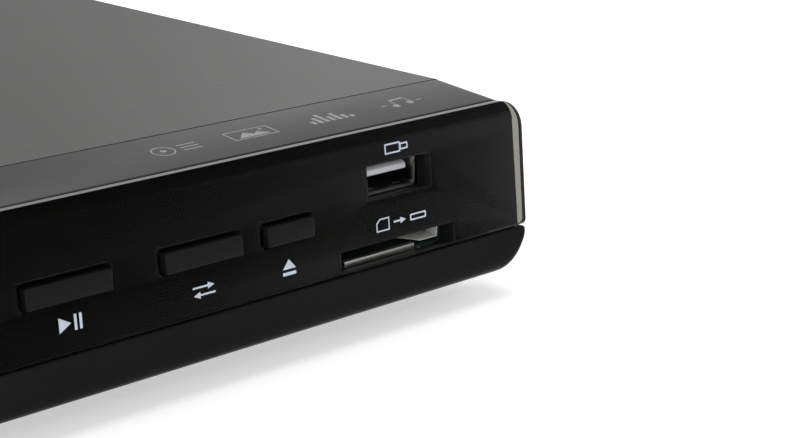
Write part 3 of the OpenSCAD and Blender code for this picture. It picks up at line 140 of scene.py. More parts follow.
class Wires:  # the nodes of one material or of the world
    def __init__(self, owner):
        owner.use_nodes = True
        self.owner = owner
        self.tree = owner.node_tree
        self.tree.nodes.clear()

    def node(self, kind, settings=None, values=None, out=0):
        made = self.tree.nodes.new(kind)
        for key, setting in (settings or {}).items():
            if key == "stops":
                ramp = made.color_ramp.elements
                while len(ramp) < len(setting):
                    ramp.new(0.5)
                for element, (spot, colour) in zip(ramp, setting):
                    element.position = spot
                    element.color = (*colour, 1)
            else:
                setattr(made, key, setting)
        for key, value in (values or {}).items():
            if isinstance(value, Value):
                self.tree.links.new(value.socket, made.inputs[key])
            else:
                made.inputs[key].default_value = value
        return Value(self, made.outputs[out])

    def maths(self, operation, *values):
        return self.node("ShaderNodeMath", {"operation": operation}, dict(enumerate(values)))

    def place(self):
        return self.node("ShaderNodeTexCoord", out="Object")

    def part(self, vector, axis):  # one of its three numbers
        return self.node("ShaderNodeSeparateXYZ", None, {0: vector}, "XYZ".index(axis))

    def facing(self, axis):
        return self.part(self.node("ShaderNodeNewGeometry", out="True Normal"), axis)

    def noise(self, scale, detail=2, where=None):
        values = {"Vector": where or self.place(), "Scale": scale, "Detail": detail, "Roughness": 0.5}
        return self.node("ShaderNodeTexNoise", None, values, "Fac")

    def between(self, factor, first, second):  # a colour between two
        ends = [(*end, 1) if isinstance(end, tuple) else end for end in (first, second)]
        return self.node("ShaderNodeMix", {"data_type": "RGBA"}, {0: factor, 6: ends[0], 7: ends[1]}, 2)

    def range(self, value, low, high, first=0, second=1):
        return self.node("ShaderNodeMapRange", None, {0: value, 1: low, 2: high, 3: first, 4: second})

    def bump(self, height, strength, distance):  # distance in metres
        values = {"Height": height, "Strength": strength, "Distance": distance}
        return self.node("ShaderNodeBump", None, values, "Normal")

    def shader(self, **values):
        named = {key.replace("_", " "): value for key, value in values.items()}
        return self.node("ShaderNodeBsdfPrincipled", None, named)

    def mixed(self, factor, first, second):
        return self.node("ShaderNodeMixShader", None, {0: factor, 1: first, 2: second})

    def shown(self):  # 1 where the camera, a gloss or a glass looks, 0 where light is gathered
        kinds = ("Is Camera Ray", "Is Glossy Ray", "Is Transmission Ray")
        camera, gloss, glass = [self.node("ShaderNodeLightPath", out=kind) for kind in kinds]
        return self.maths("MAXIMUM", self.maths("MAXIMUM", camera, gloss), glass)

    def done(self, surface, output="ShaderNodeOutputMaterial"):
        self.tree.links.new(surface.socket, self.tree.nodes.new(output).inputs["Surface"])
        return self.owner


def materialWires(name):
    return Wires(bpy.data.materials.new(name))


def grey(level, tint=(1, 1, 1)):
    return tuple(level * channel for channel in tint)


# ---- finishes ----
def paintedSheet(name, colour, roughness, grain, strength):
    look = {"shade": 0.14, "fine": 3.1, "patches": 9, "rubbed": 0.035, "peel": 0.2 * mm}
    wires = materialWires(name)  # orange-peel texture of baked paint, with faint rubbed patches
    peel = wires.noise(grain, 3)
    fine = wires.range(wires.noise(grain * look["fine"]), 0.3, 0.7)
    patches = wires.noise(look["patches"], 3)
    base = wires.between(fine, grey(1 - look["shade"], colour), grey(1 + look["shade"], colour))
    rough = wires.range(patches, 0.3, 0.7, roughness - look["rubbed"], roughness + look["rubbed"])
    normal = wires.bump(peel, strength, look["peel"])
    return wires.done(wires.shader(Base_Color=base, Roughness=rough, Normal=normal))


def mouldedPlastic(name, colour, roughness, grain=2600, strength=0.06, level=0.5):
    look = {"flow": 24, "spread": 0.1, "texture": 0.1 * mm}
    wires = materialWires(name)  # fine spark-eroded texture and slight flow marks
    less, more = 1 - look["spread"], 1 + look["spread"]
    texture = wires.noise(grain)
    flow = wires.noise(look["flow"], 3)
    base = wires.between(wires.range(flow, 0.3, 0.7), grey(less, colour), grey(more, colour))
    rough = wires.range(flow, 0.3, 0.7, roughness * less, roughness * more)
    normal = wires.bump(texture, strength, look["texture"])
    return wires.done(wires.shader(Base_Color=base, Roughness=rough, Specular_IOR_Level=level, Normal=normal))


def glossPlastic(name, colour, roughness):
    look = {"face": 0.01, "top": 0.5, "satin": 0.26, "smear": 38, "smeared": 0.05, "lighter": 1.25,
            "grain": 2400}
    wires = materialWires(name)  # polished face, satin top strip, slight flow marks
    smear = wires.noise(look["smear"], 4)
    grain = wires.noise(look["grain"])
    base = wires.between(wires.range(smear, 0.35, 0.7), colour, grey(look["lighter"], colour))
    polish = wires.range(smear, 0.35, 0.7, roughness, roughness + look["smeared"])
    face = wires.shader(Base_Color=base, Roughness=polish, Specular_IOR_Level=look["face"],
                        Normal=wires.bump(smear, 0.02, 0.2 * mm))
    satin = wires.range(smear, 0.35, 0.7, look["satin"], look["satin"] + look["smeared"])
    top = wires.shader(Base_Color=base, Roughness=satin, Specular_IOR_Level=look["top"],
                       Normal=wires.bump(grain, 0.08, 0.1 * mm))
    upward = wires.range(wires.facing("Z"), 0.8, 0.97)
    return wires.done(wires.mixed(upward * (wires.part(wires.place(), "Z") > rimZ * mm), face, top))


def smokedAcrylic(name):
    look = {"tint": (0.21, 0.198, 0.18), "glint": 0.12, "bend": 1.28, "sawn": (0.155, 0.157, 0.162),
            "saw": 1900, "wall": 0.008, "ends": 10, "frontal": 0.9}
    wires = materialWires(name)  # clear faces, a matt sawn edge along the top, painted shade as near-black walls in the openings
    clear = wires.shader(Base_Color=(*look["tint"], 1), Roughness=0.0, IOR=look["bend"],
                         Transmission_Weight=1.0, Specular_Tint=(*grey(look["glint"]), 1))
    saw = wires.noise(look["saw"])
    sawn = wires.between(saw, grey(0.85, look["sawn"]), grey(1.15, look["sawn"]))
    edge = wires.shader(Base_Color=sawn, Roughness=0.4, Normal=wires.bump(saw, 0.2, 0.1 * mm))
    # painted shade: the walls inside the openings are made near-black
    paintedWallShade = wires.between(saw, grey(look["wall"]), grey(1.5 * look["wall"]))
    wall = wires.shader(Base_Color=paintedWallShade, Roughness=0.4, Specular_IOR_Level=0.2)
    sideways = abs(wires.facing("Y")) < look["frontal"]
    awayFromEnds = abs(wires.part(wires.place(), "X")) < (halfW - look["ends"]) * mm
    inOpening = sideways * awayFromEnds * (wires.part(wires.place(), "Z") < rimZ * mm)
    faces = wires.mixed(wires.range(wires.facing("Z"), 0.80, 0.97, 0, 0.9), clear, edge)
    return wires.done(wires.mixed(inOpening, faces, wall))


def metalSheet(name, colour, roughness, streak=(1, 40, 1)):
    look = {"lines": 160, "stains": 26, "stained": 0.78, "polished": 0.06, "dulled": 0.08, "relief": 0.1 * mm}
    wires = materialWires(name)  # rolled or drawn metal: streaks along one axis, small stains
    along = wires.node("ShaderNodeMapping", None, {0: wires.place(), 3: streak})
    lines = wires.noise(look["lines"], 3, along)
    stains = wires.range(wires.noise(look["stains"], 4), 0.35, 0.7)
    base = wires.between(stains, colour, grey(look["stained"], colour))
    rough = wires.range(lines, 0.3, 0.7, roughness - look["polished"], roughness + look["dulled"])
    normal = wires.bump(lines, 0.05, look["relief"])
    return wires.done(wires.shader(Base_Color=base, Metallic=1.0, Roughness=rough, Normal=normal))


def portSheet(name, mouth):
    look = {"mouthHighlight": (0.6, 0.6, 0.58), "innerShade": (0.15, 0.15, 0.14), "highlightFade": (-0.03, 0.77),
            "rough": (0.26, 0.36)}
    wires = materialWires(name)  # tinned steel, with a painted highlight at its front edge that fades to painted shade deeper inside
    near, far = [(mouth + depth) * mm for depth in look["highlightFade"]]
    depth = wires.part(wires.place(), "Y")
    lines = wires.noise(700, 3)
    # painted highlight at the mouth, painted shade deeper in the port
    base = wires.between(wires.range(depth, near, far), look["mouthHighlight"], look["innerShade"])
    rough = wires.range(lines, 0.3, 0.7, *look["rough"])
    normal = wires.bump(lines, 0.05, 0.1 * mm)
    return wires.done(wires.shader(Base_Color=base, Metallic=1.0, Roughness=rough, Normal=normal))


def rubber(name, colour):
    wires = materialWires(name)
    grain = wires.noise(900, 3)
    base = wires.between(grain, grey(0.8, colour), grey(1.25, colour))
    normal = wires.bump(grain, 0.25, 0.2 * mm)
    return wires.done(wires.shader(Base_Color=base, Roughness=0.85, Specular_IOR_Level=0.3, Normal=normal))


def circuitBoard(name, resist, copper):
    look = {"tracks": 170, "pads": 330, "pad": 0.55}
    wires = materialWires(name)  # tracks under the resist, with bare pads
    place = wires.place()
    tracks = wires.node("ShaderNodeTexVoronoi", {"feature": "DISTANCE_TO_EDGE", "distance": "MANHATTAN"},
                        {"Vector": place, "Scale": look["tracks"]}, "Distance")
    pads = wires.node("ShaderNodeTexVoronoi", {"feature": "F1"},
                      {"Vector": place, "Scale": look["pads"]}, "Distance")
    board = wires.between(wires.range(tracks, 0.05, 0.07, 1, 0), resist, copper)
    base = wires.between(wires.range(pads, 0.13, 0.16, 1, 0), board, grey(look["pad"]))
    return wires.done(wires.shader(Base_Color=base, Roughness=0.35, Normal=wires.bump(tracks, 0.1, 0.1 * mm)))


def printInk(name, colour):
    wires = materialWires(name)  # screen-printed ink, a little uneven
    uneven = wires.range(wires.noise(700, 3), 0.35, 0.65)
    base = wires.between(uneven, grey(0.88, colour), colour)
    return wires.done(wires.shader(Base_Color=base, Roughness=0.5, Specular_IOR_Level=0.2))


def darkGlass(name, colour):
    wires = materialWires(name)  # a fine mesh behind smooth glass
    mesh = wires.node("ShaderNodeTexVoronoi", None, {"Vector": wires.place(), "Scale": 900}, "Distance")
    base = wires.between(mesh, grey(0.7, colour), grey(1.3, colour))
    return wires.done(wires.shader(Base_Color=base, Roughness=0.08, Coat_Weight=0.5))


def coatedLens(name):
    wires = materialWires(name)  # violet coating that turns green-blue when seen from the side
    turned = wires.node("ShaderNodeLayerWeight", None, {0: 0.5}, "Facing")
    base = wires.between(turned, (0.25, 0.18, 0.5), (0.1, 0.35, 0.5))
    return wires.done(wires.shader(Base_Color=base, Roughness=0.05, Coat_Weight=1.0))


def flatFilm(name):
    look = {"pitch": 1.0, "film": 0.72, "conductor": 0.42}
    wires = materialWires(name)  # tinned conductors under white film
    across = wires.part(wires.place(), "Y") * (2 * math.pi / (look["pitch"] * mm))
    wave = wires.range(wires.maths("SINE", across), -0.2, 0.2)
    base = wires.between(wave, grey(look["film"]), grey(look["conductor"]))
    return wires.done(wires.shader(Base_Color=base, Roughness=0.4))


finishes = {  # by the record's material slots
    "cover_paint": paintedSheet("coverPaint", (0.05, 0.049, 0.047), 0.36, 950, 0.3),
    "rear_paint": paintedSheet("rearPaint", (0.03, 0.03, 0.03), 0.6, 1200, 0.3),
    "bare_steel": metalSheet("bareSteel", (0.56, 0.57, 0.58), 0.42),
    "screw_zinc": metalSheet("screwZinc", (0.25, 0.25, 0.26), 0.35),
    "port_steel": portSheet("portSteel", boxOf("usb_shell")[0].y),
    "black_gloss": glossPlastic("blackGloss", (0.011, 0.011, 0.0115), 0.13),
    "smoked_acrylic": smokedAcrylic("smokedAcrylic"),
    "key_black": mouldedPlastic("keyBlack", (0.0075, 0.0075, 0.008), 0.35, level=0.07),
    "black_plastic": mouldedPlastic("blackPlastic", (0.02, 0.02, 0.021), 0.5),
    "tray_plastic": mouldedPlastic("trayPlastic", (0.022, 0.022, 0.024), 0.45),
    "white_plastic": mouldedPlastic("whitePlastic", (0.72, 0.70, 0.64), 0.45),
    "tongue_plastic": mouldedPlastic("tonguePlastic", (0.58, 0.59, 0.63), 0.4),
    "rubber": rubber("footRubber", (0.02, 0.02, 0.02)),
    "damper_rubber": rubber("damperRubber", (0.03, 0.04, 0.12)),
    "board_green": circuitBoard("boardGreen", (0.012, 0.07, 0.025), (0.02, 0.11, 0.04)),
    "board_tan": circuitBoard("boardTan", (0.36, 0.24, 0.11), (0.42, 0.29, 0.15)),
    "chip_black": mouldedPlastic("chipBlack", (0.015, 0.015, 0.016), 0.6, 1400, 0.1),
    "capacitor_sleeve": mouldedPlastic("capacitorSleeve", (0.02, 0.02, 0.06), 0.3),
    "coil_yellow": mouldedPlastic("coilTape", (0.62, 0.44, 0.05), 0.4, 300, 0.15),
    "ribbon_white": flatFilm("ribbonFilm"),
    "display_glass": darkGlass("displayGlass", (0.02, 0.018, 0.016)),
    "ir_plastic": darkGlass("eyePlastic", (0.03, 0.006, 0.008)),
    "lens_glass": coatedLens("pickupLens"),
    "sled_casting": metalSheet("sledCasting", (0.32, 0.32, 0.33), 0.5),
    "sink_aluminium": metalSheet("sinkAluminium", (0.62, 0.62, 0.63), 0.4, (1, 1, 30)),
    "rod_chrome": metalSheet("rodChrome", (0.6, 0.6, 0.62), 0.15),
    "gold_brass": metalSheet("goldPlate", (0.85, 0.6, 0.24), 0.22),
    "magnet": metalSheet("magnetGrain", (0.1, 0.1, 0.105), 0.55, (1, 1, 1)),
    "motor_dark": paintedSheet("motorPaint", (0.05, 0.05, 0.055), 0.45, 800, 0.2),
}
for node in nodes.values():
    for place in node.material_slots:
        place.material = finishes[place.material.name.split(".")[0]]
print("finishes on:", len(finishes))


# ---- mesh tools ----
def linked(name, data):  # a new object in the scene
    made = bpy.data.objects.new(name, data)
    bpy.context.scene.collection.objects.link(made)
    return made


def settledMesh(thing):  # its mesh with the modifiers applied
    bpy.context.view_layer.update()
    return bpy.data.meshes.new_from_object(thing.evaluated_get(bpy.context.evaluated_depsgraph_get()))


def turnOutwards(thing):
    work = bmesh.new()
    work.from_mesh(thing.data)
    bmesh.ops.recalc_face_normals(work, faces=work.faces[:])
    work.to_mesh(thing.data)
    work.free()
    return thing


def combine(target, others, how="DIFFERENCE"):
    for other in others:
        step = target.modifiers.new("combine", "BOOLEAN")
        step.operation = how
        step.solver = "EXACT"
        step.object = other
        result = settledMesh(target)
        target.modifiers.remove(step)
        target.data = result
        bpy.data.objects.remove(other)
    return target


def finishPiece(made, body, slot, replaces=(), sharp=38, material=None):
    data = made.data
    data.materials.clear()
    data.materials.append(material or finishes[slot])
    work = bmesh.new()
    work.from_mesh(data)
    for face in work.faces:
        face.smooth = True
    for edge in work.edges:
        edge.smooth = len(edge.link_faces) == 2 and edge.calc_face_angle(0) < math.radians(sharp)
    work.to_mesh(data)
    work.free()
    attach(made, body)
    if replaces:
        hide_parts(*replaces)


class Shape:  # gathers parts in millimetres, then becomes one piece
    def __init__(self):
        self.mesh = bmesh.new()

    def take(self, part, matrix=None):
        spare = bpy.data.meshes.new("spare")
        part.to_mesh(spare)
        part.free()
        if matrix:
            spare.transform(matrix)
        self.mesh.from_mesh(spare)
        bpy.data.meshes.remove(spare)
        return self

    def block(self, x, y, z, edge, steps=2):
        part = bmesh.new()
        size = Matrix.Diagonal((x[1] - x[0], y[1] - y[0], z[1] - z[0], 1))
        middle = Matrix.Translation(((x[0] + x[1]) / 2, (y[0] + y[1]) / 2, (z[0] + z[1]) / 2))
        bmesh.ops.create_cube(part, size=1, matrix=middle @ size)
        bmesh.ops.bevel(part, geom=part.edges[:], offset=edge, segments=steps, profile=0.5, affect="EDGES")
        return self.take(part)

    def loft(self, rings):  # rings of the same count, capped at both ends
        count = len(rings[0])
        made = [self.mesh.verts.new(point) for ring in rings for point in ring]
        for start in range(0, len(made) - count, count):
            for i in range(count):
                j = (i + 1) % count
                corners = (start + i, start + j, start + count + j, start + count + i)
                self.mesh.faces.new([made[corner] for corner in corners])
        self.mesh.faces.new(made[:count][::-1])
        self.mesh.faces.new(made[-count:])
        return self

    def lathe(self, profile, spot, axis="Z", steps=40):  # a closed profile of (radius, height)
        turn = Matrix.Rotation(-math.pi / 2, 4, "X") if axis == "Y" else Matrix.Identity(4)
        part = bmesh.new()
        rings = []
        for k in range(steps):
            angle = 2 * math.pi * k / steps
            rings.append([part.verts.new((r * math.cos(angle), r * math.sin(angle), h)) for r, h in profile])
        for k in range(steps):
            after = rings[(k + 1) % steps]
            for i in range(len(profile)):
                j = (i + 1) % len(profile)
                part.faces.new([rings[k][i], rings[k][j], after[j], after[i]])
        bmesh.ops.remove_doubles(part, verts=part.verts[:], dist=1e-5)
        bmesh.ops.dissolve_degenerate(part, edges=part.edges[:], dist=1e-6)
        bmesh.ops.recalc_face_normals(part, faces=part.faces[:])
        return self.take(part, Matrix.Translation(spot) @ turn)

    def plate(self, loops, thick, edge, matrix, steps=2):  # an outline with holes, its face up to +thick
        curve = bpy.data.curves.new("outline", "CURVE")
        curve.dimensions = "2D"
        curve.fill_mode = "BOTH"
        curve.extrude = thick / 2 - edge
        curve.bevel_depth = edge
        curve.offset = -edge
        curve.bevel_resolution = steps
        for loop in loops:
            outline = curve.splines.new("POLY")
            outline.points.add(len(loop) - 1)
            for point, (x, y) in zip(outline.points, loop):
                point.co = (x, y, 0, 1)
            outline.use_cyclic_u = True
        holder = linked("outline", curve)
        flat = settledMesh(holder)
        bpy.data.objects.remove(holder)
        part = bmesh.new()
        part.from_mesh(flat)
        bpy.data.meshes.remove(flat)
        bmesh.ops.remove_doubles(part, verts=part.verts[:], dist=1e-4)
        bmesh.ops.recalc_face_normals(part, faces=part.faces[:])
        return self.take(part, matrix @ Matrix.Translation((0, 0, thick / 2)))

    def plain(self, name):
        data = bpy.data.meshes.new(name)
        self.mesh.transform(Matrix.Scale(mm, 4))
        self.mesh.to_mesh(data)
        self.mesh.free()
        return linked(name, data)

    def piece(self, name, body, slot, replaces=(), sharp=38, material=None):
        finishPiece(self.plain(name), body, slot, replaces, sharp, material)


def arc(cx, cy, r, start, end, steps):
    angles = [math.radians(start + (end - start) * k / steps) for k in range(steps + 1)]
    return [(cx + r * math.cos(angle), cy + r * math.sin(angle)) for angle in angles]


def roundRect(x, y, w, h, r, steps=6):  # r for all corners, or for each from the lower left, going round
    a, b, c, d = r if isinstance(r, tuple) else (r, r, r, r)
    lower = arc(x + a, y + a, a, 180, 270, steps) + arc(x + w - b, y + b, b, 270, 360, steps)
    upper = arc(x + w - c, y + h - c, c, 0, 90, steps) + arc(x + d, y + h - d, d, 90, 180, steps)
    return lower + upper


def row(count, pitch):  # places in a row about its middle
    return [(k - (count - 1) / 2) * pitch for k in range(count)]


# ---- camera, lamps, world and floor ----
view = {"place": (-68.12, -352.434, 119.154), "tilt": 73, "turn": -42.5, "focal": 78.885, "sensor": 36}
camera = linked("camera", bpy.data.cameras.new("camera"))
camera.data.lens = view["focal"]
camera.data.sensor_width = view["sensor"]
camera.data.clip_start = 0.01
camera.location = Vector(view["place"]) * mm
camera.rotation_euler = (math.radians(view["tilt"]), 0, math.radians(view["turn"]))
bpy.context.scene.camera = camera
bpy.context.scene.view_settings.view_transform = "Standard"

lamps = {
    "top": {"spot": (0.1, 0.25, 1.3), "size": 1.5, "power": 14, "turn": (0, 0, 0)},
    "front": {"spot": (-0.6, -1.2, 0.55), "size": 0.9, "power": 9, "turn": (62, 0, -27)},
    "side": {"spot": (1.2, -0.2, 0.5), "size": 0.8, "power": 3, "turn": (66, 0, 80)},
}
for name, settings in lamps.items():
    lamp = linked(name, bpy.data.lights.new(name, "AREA"))
    lamp.data.size = settings["size"]
    lamp.data.energy = settings["power"]
    lamp.location = settings["spot"]
    lamp.rotation_euler = [math.radians(angle) for angle in settings["turn"]]

# white where it is seen; in gloss the far wall grows darker to the left of the part
sky = {"light": 0.42, "seen": 1.0,
       "inGloss": ((0.0, 0.6), (0.55, 0.38), (0.65, 0.48), (0.75, 0.62), (0.84, 0.95), (0.97, 0.75))}
world = bpy.data.worlds.new("studio")
bpy.context.scene.world = world
skyWires = Wires(world)
bearing = skyWires.node("ShaderNodeTexCoord", out="Generated")
slope = skyWires.part(bearing, "X") / skyWires.part(bearing, "Y")
stops = [(spot, grey(level)) for spot, level in sky["inGloss"]]
wall = skyWires.node("ShaderNodeValToRGB", {"stops": stops}, {0: slope})
skyColour = skyWires.between(skyWires.node("ShaderNodeLightPath", out="Is Glossy Ray"), (1, 1, 1), wall)
skyStrength = skyWires.range(skyWires.shown(), 0, 1, sky["light"], sky["seen"])
backdrop = skyWires.node("ShaderNodeBackground", None, {"Color": skyColour, "Strength": skyStrength})
skyWires.done(backdrop, "ShaderNodeOutputWorld")

paper = {"reach": 3.0, "colour": 0.8, "lift": 0.42}
paperWires = materialWires("floorPaper")
fibres = paperWires.noise(60)
paperBase = paperWires.between(fibres, grey(paper["colour"] * 0.99), grey(paper["colour"]))
bare = paperWires.shader(Base_Color=paperBase, Roughness=0.9, Specular_IOR_Level=0.1)
glow = paperWires.node("ShaderNodeEmission", None,
                       {"Color": (1, 1, 1, 1), "Strength": paperWires.shown() * paper["lift"]})
paperWires.done(paperWires.node("ShaderNodeAddShader", None, {0: bare, 1: glow}))
corners = [(x * paper["reach"], y * paper["reach"], 0) for x, y in ((-1, -1), (1, -1), (1, 1), (-1, 1))]
floorMesh = bpy.data.meshes.new("floor")
floorMesh.from_pydata(corners, [], [(0, 1, 2, 3)])
floorMesh.materials.append(paperWires.owner)
linked("floor", floorMesh)
print("stage set")

# ---- what the front's openings share: each key, the door, the data port and the card slot ----
keyLook = {"low": 9.4, "height": 3.7, "gap": 0.4, "headroom": 0.35, "corner": 0.35, "hole": 0.4,
           "proud": 1.25, "edge": 0.4, "crown": 0.12, "face": 0.6, "back": 4.4, "lap": 1.2, "flange": 1.0,
           "flangeEdge": 0.1, "flangeCorner": 0.3, "stem": 1.5, "stemTip": 1.3, "stemEdge": 0.2}
keyNodes = {key: "button_" + key for key in ("play", "sound", "eject", "standby")}
keyWidths = {}
for key, node in keyNodes.items():
    low, high = boxOf(node)
    keyWidths[key] = high.x - low.x - 2 * keyLook["lap"]  # the flange laps the wall on each side
door = {"low": 3.5, "height": 19.0, "gap": 0.5, "hole": 0.4, "corner": 0.5, "edge": 0.45, "thick": 3.0,
        "lugs": 3, "lugWide": 10.0, "lugZ": (24, 31), "lugIn": 0.5, "lugEdge": 0.3, "ends": 8.0,
        "spread": 0.42}
doorLow, doorHigh = boxOf("tray_door")
doorW = doorHigh.x - doorLow.x
portWindow = {"x": middleOf("usb_shell"), "wide": 16.0, "low": 13.0, "height": 6.5}
cardWindow = {"x": middleOf("card_socket"), "wide": 29.0, "low": 0.85, "height": 3.9}
cardReach = {"x": middleOf("card_socket"), "wide": 29.0, "low": 0.45, "height": 4.3}  # in the moulding


def keyHoles(grow, corner, headroom=0.0):
    gap = keyLook["gap"] + grow
    tall = keyLook["height"] + 2 * gap + headroom
    holes = []
    for key, w in keyWidths.items():
        left = middleOf(keyNodes[key]) - w / 2 - gap
        holes.append(roundRect(left, keyLook["low"] - gap, w + 2 * gap, tall, corner))
    return holes


def doorHole(grow):
    gap = door["gap"] + grow
    tall = door["height"] + 2 * gap
    return roundRect(doorLow.x - gap, door["low"] - gap, doorW + 2 * gap, tall, door["hole"])


def windowHole(spot, grow, corner=0.3):
    left = spot["x"] - spot["wide"] / 2 - grow
    return roundRect(left, spot["low"] - grow, spot["wide"] + 2 * grow, spot["height"] + 2 * grow, corner)


# ---- front panel of smoked acrylic, every opening cut through ----
lensCorners = (lens["footCorner"], lens["footCorner"], lens["corner"], lens["corner"])
lensLoops = [roundRect(-halfW, lens["foot"], 2 * halfW, lens["height"], lensCorners, 14)]
lensLoops += keyHoles(0, keyLook["hole"], keyLook["headroom"])
lensLoops += [doorHole(0), windowHole(portWindow, 0), windowHole(cardWindow, 0)]
panel = Shape().plate(lensLoops, lens["thick"], lens["edge"], frontPlane(lens["thick"]))
panel.piece("front_panel", "case", "smoked_acrylic", ["front_lens"])
print("front panel cut")

# ---- black moulding: top strip, wall with its windows, lower strip ----
mould = {"inset": 1.2, "corner": 5.0, "wall": 2.0, "glue": 0.1, "gap": 0.35, "seamDrop": 0.05,
         "ahead": 0.415, "crest": 0.03, "stripEdge": 0.35, "ease": 0.3, "rebate": 0.3, "tuck": 0.05,
         "knee": 3.0, "heelV": -3.0, "heelU": 6.0, "backInset": 2.6, "backDeep": 9.0,
         "play": {"key": 0.05, "door": 0.1, "port": 0.1, "card": 0.0}}
hollow = {"past": 1.0, "lip": 2.9, "behindStrip": 3.0, "headroom": 3.2, "sill": 1.2, "behindWall": 3.0,
          "floor": 1.5, "behind": 3.0}
chin = {"lip": 0.6, "round": 5.0, "corner": 6.0, "edge": 0.8, "squeeze": 0.6, "groove": 1.15, "landing": 6.5,
        "web": 2.0, "lipTurns": (0.4, 0.8, 1.2, math.pi / 2), "steps": 12}
display = {"margin": 1.0, "low": 8.0, "height": 11.0, "corner": 0.3}
eye = {"v": 13.5, "radius": 3.0}
cutter = {"back": 9.0, "long": 12.0}
fall = math.radians(4.9)  # of the top strip
tanFall = math.tan(fall)
coverLow, coverHigh = boxOf("top_cover")
mouldW = halfW - mould["inset"]
wallU = lens["thick"] + mould["glue"]
backU = wallU + mould["wall"]
seamY = coverLow.y - mould["gap"]
seamZ = coverHigh.z - mould["seamDrop"]
stripFront = onFront(0, lensTop, lens["thick"]).y + mould["ahead"]
stripZ = seamZ - (seamY - stripFront) * tanFall
mouldRear = boxOf("chassis_base")[0].y - mould["gap"]
bottomZ = boxOf("front_bezel")[0].z


def quarterSines(steps):
    return [math.sin(math.pi / 2 * k / steps) for k in range(steps + 1)]


def endStations(half, corner, steps=10):  # (x, drop of the top) towards both rounded ends
    sines = quarterSines(steps)
    spots = [(half - corner + corner * s, corner * (1 - c)) for s, c in zip(sines, reversed(sines))]
    return [(-x, drop) for x, drop in reversed(spots)] + spots


def upperRing(x, drop):
    edge = mould["stripEdge"]
    foot = lens["foot"] - mould["tuck"]
    ring = [(seamY, seamZ), (stripFront + edge, stripZ + mould["crest"]),
            (stripFront + edge * mould["ease"], stripZ - edge * mould["ease"]), (stripFront, stripZ - edge),
            side(lensTop - mould["rebate"], wallU), side(foot, wallU), side(foot, wallU + mould["knee"]),
            side(mould["heelV"], wallU + mould["heelU"]),
            (mouldRear - mould["backInset"], side(mould["heelV"], mould["heelU"])[1]),
            (seamY, seamZ - mould["backDeep"])]
    return [(x, y, min(z, seamZ + min(0, (y - seamY) * tanFall) - drop)) for y, z in ring]


def hollowRing(x, drop):
    floor = bottomZ + mould["wall"] + hollow["floor"]
    back = seamZ - mould["backDeep"]
    behind = mouldRear + hollow["behind"]
    ring = [(seamY + hollow["past"], seamZ - hollow["lip"]),
            (stripFront + hollow["behindStrip"], stripZ - mould["wall"]),
            side(lensTop - hollow["headroom"], backU), side(hollow["sill"], backU),
            (refY + backU + hollow["behindWall"], floor), (behind, floor), (behind, back),
            (seamY + hollow["past"], back)]
    return [(x, y, min(z, seamZ - drop - mould["wall"])) for y, z in ring]


def chinRing(x):
    # the lower strip curves up towards its ends, and draws in a little at the very end
    over = max(0.0, abs(x) - (halfW - chin["corner"]))
    slip = max(0.0, abs(x) - (halfW - chin["edge"]))
    inward = chin["edge"] - math.sqrt(max(0.0, chin["edge"] ** 2 - slip ** 2))
    low = bottomZ + chin["corner"] - math.sqrt(max(0.0, chin["corner"] ** 2 - over ** 2))
    high = refZ - chin["squeeze"] * inward
    r = min(chin["round"], 0.8 * (high - low))
    lip = min(chin["lip"], 0.3 * (high - low))
    cy, cz = side((low + r - refZ + (r + inward) * sinLean) / cosLean, r + inward)
    vTop = (high - refZ) / cosLean
    landing = side(vTop, chin["landing"])
    ring = [landing, side(vTop, chin["groove"]), side(vTop, lip + inward)]
    for turn in chin["lipTurns"]:
        ring.append(side(vTop - lip * (1 - math.cos(turn)), lip + inward - lip * math.sin(turn)))
    ring += arc(cy, cz, r, 180 - math.degrees(lean), 270, chin["steps"])
    ring += [(mouldRear, low), (mouldRear, low + chin["web"]), (landing[0], low + chin["web"])]
    return [(x, y, z) for y, z in ring]


chinEnds = [halfW - chin["corner"] + chin["corner"] * s for s in quarterSines(12)]
chinEnds += [halfW - chin["edge"] * (1 - s) for s in quarterSines(5)]
chinRight = sorted({round(x, 4) for x in chinEnds})
chinX = [-x for x in reversed(chinRight)] + chinRight
upperStations = endStations(mouldW, mould["corner"])
hollowStations = endStations(mouldW - mould["wall"], mould["corner"] - mould["wall"])
moulding = turnOutwards(Shape().loft([chinRing(x) for x in chinX]).plain("front_moulding"))
upperPart = turnOutwards(Shape().loft([upperRing(x, drop) for x, drop in upperStations]).plain("upper"))
inside = turnOutwards(Shape().loft([hollowRing(x, drop) for x, drop in hollowStations]).plain("hollow"))
displayLow, displayHigh = boxOf("display")
displayLeft = displayLow.x - display["margin"]
displayW = displayHigh.x - displayLow.x + 2 * display["margin"]
play = mould["play"]  # how far the moulding's holes stand back from the panel's
mouldHoles = keyHoles(play["key"], keyLook["corner"]) + [
    doorHole(play["door"]), windowHole(portWindow, play["port"]), windowHole(cardReach, play["card"]),
    roundRect(displayLeft, display["low"], displayW, display["height"], display["corner"]),
    arc(middleOf("ir_receiver"), eye["v"], eye["radius"], 0, 345, 23)]
windows = Shape()
for hole in mouldHoles:
    windows.plate([hole], cutter["long"], 0, frontPlane(cutter["back"]))
combine(moulding, [upperPart], "UNION")
combine(moulding, [inside, windows.plain("windows")])
finishPiece(moulding, "case", "black_gloss", ["front_bezel"], 30)
print("moulding made")

